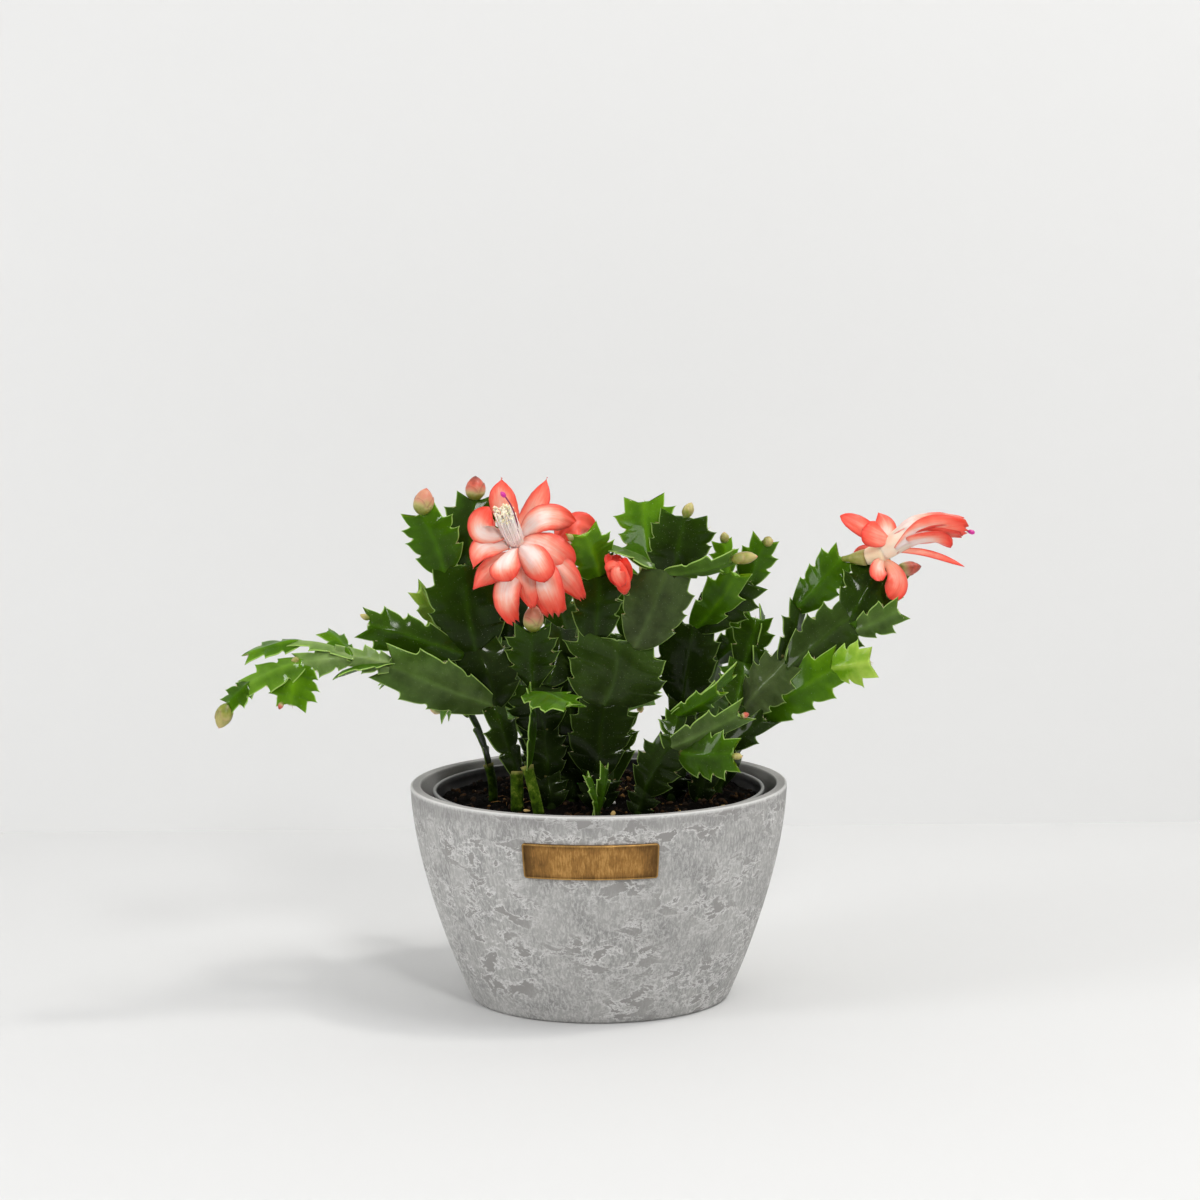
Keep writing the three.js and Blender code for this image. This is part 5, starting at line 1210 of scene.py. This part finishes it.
def petal(heap, root, row, facing, bow, number, warm_root=0.0, furl=0.0):
    """A thin petal on a curve from root to tip: softly cupped and wavy, with a curled, sharp or torn end."""
    tip, width, pale, rounded, ragged, curl, bend = row
    rng = np.random.default_rng(9 * SEED + number)
    tip = np.array(tip, float)
    length = np.linalg.norm(tip - root)
    middle = (root + tip) / 2 + 2 * bow * facing + 2 * np.array(bend, float)
    t = np.linspace(0, 1, PETAL_ROWS)[:, None]
    k = np.linspace(-1, 1, PETAL_COLUMNS)[None, :]
    torn = ragged * 0.13 * np.abs(np.sin(1.3 * math.pi * k + rng.uniform(0, 3))) * (1 - 0.3 * np.abs(k))
    step = t * (1 - (torn - torn.min()) * t ** 3)
    along = np.gradient(arc(root, middle, tip, t), axis=0)
    along /= np.linalg.norm(along, axis=1)[:, None]
    across = np.cross(along, facing)
    across /= np.linalg.norm(across, axis=1)[:, None]
    out = np.cross(across, along)
    pointed, blunt = (np.interp(t, PETAL_PLACES, reaches) for reaches in (POINTED_REACHES, BLUNT_REACHES))
    reach = pointed + (blunt - pointed) * rounded + 0.6 * ragged * smooth_step(0.85, 1, t)
    side = reach * k * width / 2
    cup = CUP * width * np.abs(k) ** 2.2 * reach * (1 + furl)
    ruffle = 0.06 * width * k ** 2 * np.sin(rng.uniform(0, 6) + 8 * t + 1.5 * k)
    crease = 0.02 * width * np.cos(2.5 * math.pi * k + rng.uniform(-1, 1)) * reach
    height = ruffle + crease - cup - curl * smooth_step(0.6, 1, t) ** 2
    thick = PETAL_THICK * (1 - 0.5 * k ** 2) * (0.55 + 0.45 * np.sin(math.pi * np.clip(t, 0.05, 0.95)))

    # Its paint: how far it has turned to red, its dark edge and its warm root
    centre = 0.6 - 0.46 * pale + (0.14 + 0.4 * pale) * smooth_step(0.4, 1, t)
    rim = (0.5 + 0.5 * smooth_step(0.1, 0.6, t)) * np.abs(k) ** 2.6
    heat = centre + (1 - centre) * rim + 0.22 * smooth_step(0.72, 1, t)
    edge = np.maximum(np.abs(k) ** 14, smooth_step(0.97, 1, t))
    base = warm_root * (1 - smooth_step(0.05, 0.42, t))
    paint, place = (
        np.stack([np.broadcast_to(layer, step.shape) for layer in layers], -1).reshape(-1, len(layers))
        for layers in ((heat, edge, base, 0), (step * length, side, PETAL_SPACING * number))
    )
    flat = arc(root, middle, tip, step[..., None]) + across[:, None, :] * side[..., None]
    sheets = [(flat + out[:, None, :] * (height + face * thick / 2)[..., None]).reshape(-1, 3)
              for face in (1, -1)]
    loop = border(PETAL_ROWS, PETAL_COLUMNS)
    front = grid_faces(PETAL_ROWS, PETAL_COLUMNS)
    layer = PETAL_ROWS * PETAL_COLUMNS
    faces = front + turned_over(front, layer) + strip(loop, [layer + i for i in loop])
    heap.add(np.concatenate(sheets), faces, np.concatenate([paint, paint]), np.concatenate([place, place]))


def petal_ring(heap, centre, rows, facing, ring, bow, number, look=None, warm_root=0.0, furl=0.0):
    """Petals rooted on a small ring. They face the way that look gives, or outwards where they are furled.

    Number is the first petal's, which sets its ripples and veins.
    """
    for i, row in enumerate(rows):
        outward = square_to(np.array(row[0], float) - centre, facing)
        towards = outward if furl else facing if look is None else look
        petal(heap, centre + ring * outward, row, towards, bow, number + i, warm_root, furl)


def tube(heap, start, end, rows, heat, base):
    """A flower tube: rows of share of its length and radius."""
    share = np.linspace(rows[0][0], rows[-1][0], TUBE_ROWS)
    radii = np.interp(share, *zip(*rows))
    sweep(heap, start + (end - start) * share[:, None], radii, TUBE_SIDES, (heat, 0, base, 0))


def stigma(heap, place, along):
    """The knob on a style: five short lobes pressed together."""
    side = unit(np.cross(along, [0.1, 0.3, 1]))
    for lobe in range(STIGMA_LOBES):
        angle = 2 * math.pi * lobe / STIGMA_LOBES
        lean = LOBE_LEAN * (math.cos(angle) * side + math.sin(angle) * np.cross(along, side))
        path = [place + rise * along + share * lean for rise, share, _, _ in STIGMA_ROWS]
        sweep(heap, path, [row[2] for row in STIGMA_ROWS], 8, [(row[3], 0, 0, 0) for row in STIGMA_ROWS])


def style(name, node, path, shades):
    """A style: a thread along a path that carries its stigma."""
    heap = Heap()
    sweep(heap, path, [STYLE_RADIUS] * len(path), 8, [(shade, 0, 0, 0) for shade in shades])
    stigma(heap, path[-1], unit(path[-1] - path[-2]))
    make_piece(name, heap, ["style"], [node])


def dress_left_bloom(seat):
    """The open bloom: three rings of petals on a pale tube, with stamens and a style."""
    heap = Heap()
    start = seat["end"] + SEAT_GAP * seat["along"]
    tube(heap, start, LEFT_WAIST, LEFT_SEAT_ROWS, 0.2, 0.75)
    tube(heap, LEFT_WAIST, LEFT_THROAT, LEFT_TUBE_ROWS, 0.25, 0.1)
    petal_ring(heap, LEFT_WAIST, LEFT_WAIST_PETALS, LEFT_FACING, WAIST_RING, 0.5 * OPEN_BOW, 1)
    petal_ring(heap, LEFT_MIDDLE, LEFT_MIDDLE_PETALS, LEFT_FACING, MIDDLE_RING, OPEN_BOW, 10)
    petal_ring(heap, LEFT_THROAT, LEFT_MOUTH_PETALS, LEFT_FACING, MOUTH_RING, OPEN_BOW, 20)
    make_piece("left_bloom_flower", heap, ["petal"], ["left_bloom_petals"])

    heap = Heap()
    rng = np.random.default_rng(SEED)
    along = unit(LEFT_STAMEN_TIP - LEFT_THROAT)
    side = unit(np.cross(along, LEFT_FACING))
    other = np.cross(side, along)
    core = LEFT_THROAT + along * np.linspace(*STAMEN_CORE_REACH, len(STAMEN_CORE_RADII))[:, None]
    sweep(heap, core, STAMEN_CORE_RADII, 18, (0.08, 0, 0, 0))
    t = np.linspace(0, 1, 6)[:, None]
    for i in range(STAMENS):
        angle = i * GOLDEN_ANGLE
        spread = math.sqrt((i + 0.5) / STAMENS)
        ring = math.cos(angle) * side + math.sin(angle) * other
        start = LEFT_THROAT + STAMEN_SEAT * spread * ring
        size = rng.uniform(*STAMEN_LENGTH)
        end = LEFT_THROAT + size * along + (STAMEN_SPREAD * spread + rng.normal(0, 0.25)) * ring
        path = arc(start, (start + end) / 2 + 0.3 * ring, end, t)
        paint = [(0.02 + 0.25 * s, 0, 0, 0) for s in t[:, 0]]
        sweep(heap, path, np.linspace(*THREAD_RADII, len(t)), 5, paint)
        way = unit(ring * 0.5 + along + rng.normal(0, 0.5, 3))
        sweep(heap, [end + rise * way for rise in ANTHER_RISES], ANTHER_RADII, 6,
              (rng.uniform(0.55, 0.85), 0, 0, 0))
    make_piece("left_bloom_stamen_column", heap, ["stamen"], ["left_bloom_stamens"])

    t = np.linspace(0, 1, 14)[:, None]
    aside, rise, before = LEFT_STYLE_ROOT
    low = LEFT_THROAT + aside * side * np.sign(side[0]) + rise * along + before * LEFT_FACING
    path = arc(low, (low + LEFT_STIGMA) / 2 + LEFT_STYLE_BEND, LEFT_STIGMA, t)
    style("left_bloom_style_thread", "left_bloom_style", path, 0.15 * t[:, 0])


def dress_right_bloom(seat):
    """The bloom held out sideways: ovary, petals bent back, and a furled bundle with its stigma in front."""
    heap = Heap()
    start = seat["end"] + SEAT_GAP * seat["along"]
    share = np.linspace(0, 1, 10)
    radii = 1.3 + 2.6 * smooth_step(0, 1, share)
    sweep(heap, start + (RIGHT_OVARY_END - start) * share[:, None], radii, 18,
          [(0.16 + 0.18 * s, 0, 0, 0) for s in share])
    make_piece("right_bloom_ovary_cone", heap, ["bud"], ["right_bloom_ovary"])

    heap = Heap()
    calyx = RIGHT_OVARY_END - 0.3 * unit(RIGHT_WAIST - RIGHT_OVARY_END)
    tube(heap, calyx, RIGHT_WAIST, RIGHT_CALYX_ROWS, 0.3, 0.85)
    corners = np.array(RIGHT_TUBE, float)
    place = np.linspace(0, len(corners) - 1, RIGHT_TUBE_STEPS)
    path = np.column_stack([np.interp(place, range(len(corners)), corners[:, k]) for k in range(3)])
    for _ in range(3):
        path[1:-1] = (path[:-2] + 2 * path[1:-1] + path[2:]) / 4
    radii = np.interp(place, range(len(corners)), RIGHT_TUBE_RADII)
    paint = [(0.15 + 0.7 * smooth_step(0.4, 0.9, s), 0, 0.55 * (1 - smooth_step(0.2, 0.6, s)), 0)
             for s in place / place[-1]]
    sweep(heap, path, radii, RIGHT_TUBE_STEPS, paint)
    petal_ring(heap, RIGHT_WAIST, RIGHT_BACK_PETALS, RIGHT_FACING, 4, 1, 40, RIGHT_LOOK, 0.3)
    petal_ring(heap, corners[1], RIGHT_LONG_PETAL, RIGHT_FACING, 4, 0, 50, RIGHT_LOOK)
    petal_ring(heap, corners[1], RIGHT_COLLAR_PETAL, RIGHT_LOOK, 3, 1, 55)
    petal_ring(heap, corners[1], RIGHT_FURLED_PETALS, RIGHT_FACING, 5, 1.6, 60, furl=2)
    make_piece("right_bloom_flower", heap, ["petal"], ["right_bloom_petals"])

    t = np.linspace(0, 1, 12)[:, None]
    mouth = corners[3]
    low = mouth + 0.1 * (RIGHT_STIGMA - mouth)
    path = low + (RIGHT_STIGMA - low) * t + RIGHT_STYLE_RISE * np.sin(math.pi * t)
    style("right_bloom_style_thread", "right_bloom_style", path, 0.2 * t[:, 0])


def dress_opening_bud():
    """The half-open bud: short red petals still folded over each other."""
    heap = Heap()
    reach = OPENING_TIP - OPENING_BASE
    tube(heap, OPENING_BASE, OPENING_TIP, OPENING_TUBE_ROWS, 0.9, 0)
    petal_ring(heap, OPENING_BASE + 0.15 * reach, OPENING_PETALS, unit(reach), 2.4, 1.6, 80, furl=0.9)
    for i, row in enumerate(OPENING_FLAP):
        root = OPENING_BASE + 0.75 * reach + 2.5 * OPENING_LOOK
        petal(heap, root, row, OPENING_LOOK, 0.8, 90 + i, furl=0.4)
    make_piece("opening_bud_petals", heap, ["petal"], ["opening_bud"])


def dress_buds(stems):
    """Every closed bud on its leaf, and the ones just forming."""
    for name, stem, leaf_name, tip, width, heat in BUDS:
        leaf = stems[stem][leaf_name]
        heap = Heap()
        start = leaf["end"] + SEAT_GAP * leaf["along"]
        tip = np.array(tip, float)
        bud_body(heap, start, tip, width, heat)
        stalk = [leaf["end"] - 1.5 * leaf["along"], start, start + 0.12 * (tip - start)]
        sweep(heap, stalk, STALK_RADII, 10, (0.05, 0, 0, 0))
        make_piece(f"{name}_scales", heap, ["bud"], [name])
    heap = Heap()
    for stem, leaf_name, share, reach, length, width, heat in YOUNG_BUDS:
        leaf = stems[stem][leaf_name]
        way = unit(leaf["along"] + 0.5 * reach * leaf["across"])
        start = leaf["base"] + leaf["along"] * share * leaf["length"] - YOUNG_BUD_SUNK * way
        start = start + leaf["across"] * reach * leaf["width"] / 2
        bud_body(heap, start, start + (length + YOUNG_BUD_SUNK) * way, width, heat)
    make_piece("young_buds", heap, ["bud"])


def lathe(heap, rows, sides):
    """A turned shape about +Z from rows of radius, height and paint, closed with flat ends."""
    points = np.concatenate([ring_points(radius, sides, height) for radius, height, _ in rows])
    heap.add(points, closed_tube(len(rows), sides), np.repeat([paint for _, _, paint in rows], sides, axis=0))


def pot_radius(height):
    """Radius of the outer pot's side at a height, on a smooth curve through its rows."""
    return float(np.polyval(POT_CURVE, height))


def dress_outer_pot():
    """The faux stone pot: a smooth bulging side, a flat lip whose rounded edges carry a painted highlight,
    and a dark inside.
    """
    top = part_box("outer_pot")[1].z / MM
    base, outer, inner = pot_radius(0), pot_radius(top), pot_radius(top) - POT_WALL
    rows = [(2, POT_FOOT_ROWS[0][1], PLAIN)]
    rows += [(base - inset, height, PLAIN) for inset, height in POT_FOOT_ROWS]
    # Near the top of the outer wall and on the lip's rounded edges, a painted highlight
    for height in np.linspace(1, top - LIP_ROUND, POT_ROWS_OUTSIDE):
        edge_highlight = 0.5 * smooth_step(top - 1.8, top - 0.8, height)
        band = smooth_step(top - 9, top - 4, height) * (1 - smooth_step(top - 1.9, top - 1.2, height))
        rows.append((pot_radius(height), height, (edge_highlight, 0, 0, 0.4 * band)))
    turns = [math.radians(turn) for turn in (30, 60, 90)]
    drops = [(LIP_ROUND * (1 - math.cos(turn)), top - LIP_ROUND * (1 - math.sin(turn))) for turn in turns]
    rows += [(outer - inset, height, (0.85, 0.4, 0, 0)) for inset, height in drops]
    rows += [(outer - LIP_ROUND - share * (POT_WALL - 2 * LIP_ROUND), top, (0, 1, 0, 0))
             for share in (0.15, 0.5, 0.85)]
    rows += [(inner + inset, height, (0.25, 1, 0, 0)) for inset, height in drops[::-1]]
    rows += [(pot_radius(height) - POT_WALL, height, INSIDE)
             for height in np.linspace(top - LIP_ROUND - 0.6, POT_FLOOR + 3, POT_ROWS_INSIDE)]
    rows += [(pot_radius(POT_FLOOR) - POT_WALL - 2.5, POT_FLOOR, INSIDE), (2, POT_FLOOR, INSIDE)]
    heap = Heap()
    lathe(heap, rows, POT_SIDES)
    make_piece("outer_pot_stone", heap, ["stone"], ["outer_pot"])


def plate_point(place, rise):
    """A point above the pot's side, at a place across and up the plate."""
    height = PLATE_MIDDLE + place[1]
    out = pot_radius(height) + rise
    angle = (PLATE_OFFSET + place[0]) / pot_radius(PLATE_MIDDLE)
    return out * math.sin(angle), -out * math.cos(angle), height


def round_corner(x, z, half):
    """A place on the plate, moved in at the round corners, and how far it lies from the plate's edge."""
    corner = np.abs([x, z]) - half + PLATE_CORNER
    inset = PLATE_CORNER - corner.max()
    if corner.min() > 0:
        a, b = corner / PLATE_CORNER
        corner = PLATE_CORNER * np.array([a * math.sqrt(1 - b * b / 2), b * math.sqrt(1 - a * a / 2)])
        inset = PLATE_CORNER - np.linalg.norm(corner)
    return np.sign([x, z]) * (corner + half - PLATE_CORNER), inset


def dress_plate():
    """The brass plate, bare: rounded corners, a thin border with a painted highlight, and darkened brass
    inside it, with painted shade in the border's groove, at its edges and towards its ends.
    """
    insets, *profile = zip(*PLATE_PROFILE)
    half = np.array([PLATE_WIDTH / 2, PLATE_HEIGHT / 2])
    edge = np.array(insets[:-2])
    xs, zs = (
        np.concatenate([-h + edge, np.linspace(-h + PLATE_INNER, h - PLATE_INNER, steps), h - edge[::-1]])
        for h, steps in zip(half, PLATE_STEPS)
    )
    loop = border(len(zs), len(xs))
    points, colours = [], []
    for z in zs:
        for x in xs:
            place, inset = round_corner(x, z, half)
            rise, border_highlight, shade = (np.interp(inset, insets, row) for row in profile)
            points.append(plate_point(place, PLATE_THICK + PLATE_RISE * rise))
            # Painted shade towards the plate's left and right ends, away from its border
            dark = 0.3 * smooth_step(0.6, 1, abs(x) / half[0]) * (1 - border_highlight)
            colours.append((border_highlight, shade + dark, 0, 0))
    start = len(points)
    for i in loop:
        place, _ = round_corner(xs[i % len(xs)], zs[i // len(xs)], half)
        points.append(plate_point(place, -PLATE_SUNK))
        # The plate's sides down into the pot are painted in shade
        colours.append((0, 0.5, 0, 0))
    heap = Heap()
    heap.add(points, grid_faces(len(zs), len(xs)) + strip(loop, range(start, len(points))), colours)
    make_piece("nameplate_brass", heap, ["brass"], ["nameplate"])


def dress_grow_pot():
    """The thin nursery pot: a tapered wall, a stepped band below its rolled lip, and a closed flat base."""
    low, high = (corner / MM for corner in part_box("grow_pot"))
    rim, top, floor = high.x - 0.3, high.z, low.z
    band = top - GROW_BAND
    wall = rim - GROW_BAND_STEP - GROW_WALL
    rows = [(1, floor), (GROW_BASE_RADIUS - 1, floor), (GROW_BASE_RADIUS, floor + 1)]
    rows += [(GROW_BASE_RADIUS + (wall - GROW_BASE_RADIUS) * s, floor + 1 + (band - floor - 1) * s)
             for s in np.linspace(0.1, 1, 10)]
    rows += [(wall + 0.9 * GROW_BAND_STEP, band + 0.8)]
    rows += [(rim + inset, top + drop) for inset, drop in [(-0.35, 1.6 - GROW_BAND), *GROW_LIP_ROWS]]
    rows += [(rim - 1.55, band + 2.6), (wall - GROW_WALL, band)]
    rows += [(GROW_BASE_RADIUS - GROW_WALL, floor + GROW_WALL), (1, floor + GROW_WALL)]
    heap = Heap()
    # Points on the rolled lip carry the painted highlight
    lathe(heap, [(radius, height, LIP_HIGHLIGHT if radius > rim - 1.2 and height > top - 2 else PLAIN)
                 for radius, height in rows], GROW_SIDES)
    make_piece("grow_pot_shell", heap, ["plastic"], ["grow_pot"])


def soil_height(x, y, top):
    """The height of the potting mix at a place: low mounds and crumbs."""
    wide = math.sin(2 * math.pi * x / WIDE_BUMP_X + 1) * math.cos(2 * math.pi * y / WIDE_BUMP_Y)
    small = math.sin(2 * math.pi * y / SMALL_BUMP_Y - 2 * math.pi * x / SMALL_BUMP_X)
    return top + WIDE_BUMP * wide + SMALL_BUMP * small


def chip(heap, rng, centre, sizes, tone):
    """An irregular crumb: a rough ball squeezed to its sizes and turned at random."""
    turn = np.array(Matrix.Rotation(rng.uniform(0, 6.28), 3, Vector(rng.normal(0, 1, 3))))
    rings, sides = 4, 7
    points = [(0, 0, -1)]
    for i in range(1, rings):
        polar = math.pi * i / rings
        for x, y, _ in ring_points(1, sides):
            bulge = rng.uniform(*CHIP_BULGE)
            aside = bulge * math.sin(polar)
            points.append((aside * x, aside * y, -bulge * math.cos(polar)))
    points.append((0, 0, 1))
    last = len(points) - 1
    faces = [(0, 1 + (k + 1) % sides, 1 + k) for k in range(sides)]
    faces += [tuple(1 + i for i in face) for face in grid_faces(rings - 1, sides, wrap=True)]
    faces += [(last, last - sides + k, last - sides + (k + 1) % sides) for k in range(sides)]
    heap.add((np.array(points) * sizes) @ turn.T + centre, faces, (tone, 0, 0, 0))


def dress_soil():
    """Potting mix: a crumbly top with bark chips, fibres and perlite half sunk in it."""
    rng = np.random.default_rng(3 * SEED)
    low, high = (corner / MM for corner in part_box("soil"))
    edge = high.x - 0.2
    top = high.z - 1.8
    sides = SOIL_SIDES
    points = [(0, 0, soil_height(0, 0, top))]
    for i in range(1, SOIL_RINGS + 1):
        radius = edge * (i / SOIL_RINGS) ** 0.8
        drop = 1.6 * smooth_step(0.93, 1, radius / edge)
        for x, y, _ in ring_points(radius, sides, offset=0.5 * (i % 2)):
            points.append((x, y, soil_height(x, y, top) + rng.normal(0, CRUMB) - drop))
    faces = [(0, 1 + k, 1 + (k + 1) % sides) for k in range(sides)]
    faces += turned_over(grid_faces(SOIL_RINGS, sides, wrap=True), 1)
    start = len(points)
    below = [(edge, top - 4), (edge - 0.3, high.z - 8.5), (edge - 4, high.z - 12), (52, low.z), (1, low.z)]
    for radius, height in below:
        points.extend(ring_points(radius, sides, height, 0.5 * (SOIL_RINGS % 2)))
    faces += turned_over(grid_faces(len(below) + 1, sides, wrap=True), start - sides)
    faces.append(tuple(range(len(points) - sides, len(points))))
    heap = Heap()
    heap.add(points, faces, PLAIN)
    make_piece("soil_mix", heap, ["mix"], ["soil"])

    chips, white = Heap(), Heap()
    for i in range(SOIL_BITS):
        angle = rng.uniform(0, 2 * math.pi)
        radius = (edge - 3) * math.sqrt(rng.uniform(0, 1))
        x, y = radius * math.cos(angle), radius * math.sin(angle)
        if min(math.hypot(x - foot[0], y - foot[1]) for foot, _ in STEMS.values()) < FOOT_CLEAR:
            continue
        place = np.array([x, y, soil_height(x, y, top)])
        if i % EVERY_PERLITE == 0:
            size = rng.uniform(0.6, 1.7)
            chip(white, rng, place + (0, 0, 0.3 * size), size * np.array([1, 0.9, 0.8]), 0)
        elif i % EVERY_FIBRE == 0:
            way = rng.normal(0, 1, 3) * (1, 1, 0.25)
            way = unit(way) * rng.uniform(*FIBRE_LENGTH)
            place = place + (0, 0, 0.4)
            if math.hypot(*(place + way)[:2]) < edge - 2:
                middle = place + 0.5 * way + rng.normal(0, 0.5, 3)
                path = [place - (0, 0, 0.6), middle, place + way - (0, 0, 0.5)]
                sweep(chips, path, FIBRE_RADII, 5, (rng.uniform(0.05, 0.6), 0, 0, 0))
        else:
            size = rng.uniform(0.7, 2.2) * (1.4 if i % EVERY_LARGE == 0 else 1)
            sizes = size * np.array([1, rng.uniform(0.45, 0.9), rng.uniform(0.3, 0.55)])
            chip(chips, rng, place + (0, 0, 0.25 * size), sizes, rng.choice(BARK_TONES, p=BARK_SHARES))
    make_piece("soil_bark_chips", chips, ["bark"])
    make_piece("soil_perlite", white, ["perlite"])


def add_light(name, place, aim, size, power, tint):
    """A square studio light."""
    lamp = bpy.data.lights.new(name, "AREA")
    lamp.energy = power
    lamp.size = size * MM
    lamp.color = linear(tint)[:3]
    light = bpy.data.objects.new(name, lamp)
    light.location = Vector(place) * MM
    light.rotation_euler = (Vector(aim) - Vector(place)).to_track_quat("-Z", "Y").to_euler()
    bpy.context.scene.collection.objects.link(light)


def stage_board(name, corners, material):
    """A flat board of the studio, which isn't part of the object."""
    mesh = bpy.data.meshes.new(name)
    mesh.from_pydata([[value * MM for value in corner] for corner in corners], [], [(0, 1, 2, 3)])
    mesh.materials.append(material)
    board = bpy.data.objects.new(name, mesh)
    bpy.context.scene.collection.objects.link(board)


def set_surroundings():
    """A pale room: brighter above, behind and to the sides than in front and below."""
    world = bpy.data.worlds.new("studio_air")
    world.use_nodes = True
    tree = world.node_tree
    way = add_node(tree, "TexCoord", {})["Generated"]
    aside, depth, height = add_node(tree, "SeparateXYZ", {0: way})
    level = add_node(tree, "Math", {"operation": "ADD", 0: height, 1: depth})[0]
    aside = add_node(tree, "Math", {"operation": "ABSOLUTE", 0: aside})[0]
    level = add_node(tree, "Math", {"operation": "MULTIPLY_ADD", 0: aside, 1: 0.9, 2: level})[0]
    tone = add_node(tree, "MapRange", {"Value": level, "From Min": -0.6, "From Max": 1.1, "To Min": 0.05,
                                       "To Max": 0.76})[0]
    tree.links.new(tone, tree.nodes["Background"].inputs["Strength"])
    tree.nodes["Background"].inputs["Color"].default_value = linear("#FDFDFF")
    bpy.context.scene.world = world


def set_stage():
    """Pale floor and wall, soft lights, surroundings and the camera."""
    far = STAGE_REACH
    stage_board("floor", [(-far, -far, 0), (far, -far, 0), (far, far, 0), (-far, far, 0)],
                painted_board("matt_floor_board", "#D6D6D5"))
    stage_board("wall", [(-far, WALL_BEHIND, 0), (far, WALL_BEHIND, 0), (far, WALL_BEHIND, far),
                         (-far, WALL_BEHIND, far)], painted_board("matt_wall_board", "#E7E7E6"))
    for light in LIGHTS:
        add_light(*light)
    set_surroundings()
    bpy.context.scene.view_settings.view_transform = "Standard"

    camera = bpy.data.objects.new("camera", bpy.data.cameras.new("camera"))
    camera.data.lens = CAMERA_LENS
    camera.data.sensor_width = CAMERA_SENSOR
    camera.data.clip_end = CAMERA_REACH * MM
    down = Matrix.Rotation(math.radians(90 - CAMERA_DOWN), 4, "X")
    roll = Matrix.Rotation(math.radians(CAMERA_ROLL), 4, "Z")
    camera.matrix_world = Matrix.Translation(Vector(CAMERA_PLACE) * MM) @ (down @ roll)
    bpy.context.scene.collection.objects.link(camera)
    bpy.context.scene.camera = camera


finishes = {
    "stone": faux_stone(), "brass": antique_brass(), "plastic": moulded_plastic(), "mix": potting_mix(),
    "bark": bark_chip(), "perlite": perlite(), "leaf": leaf_skin(), "wood": corky_stem(),
    "hair": areole_hair(), "petal": petal_skin(), "stamen": stamen_thread(), "style": magenta_style(),
    "bud": bud_skin(),
}
set_stage()
dress_outer_pot()
dress_plate()
dress_grow_pot()
dress_soil()
stems = {name: grow(foot, rows) for name, (foot, rows) in STEMS.items()}
dress_stems(stems)
dress_buds(stems)
dress_left_bloom(stems["centre_stem"]["lying"])
dress_right_bloom(stems["right_stem"]["blossom"])
dress_opening_bud()
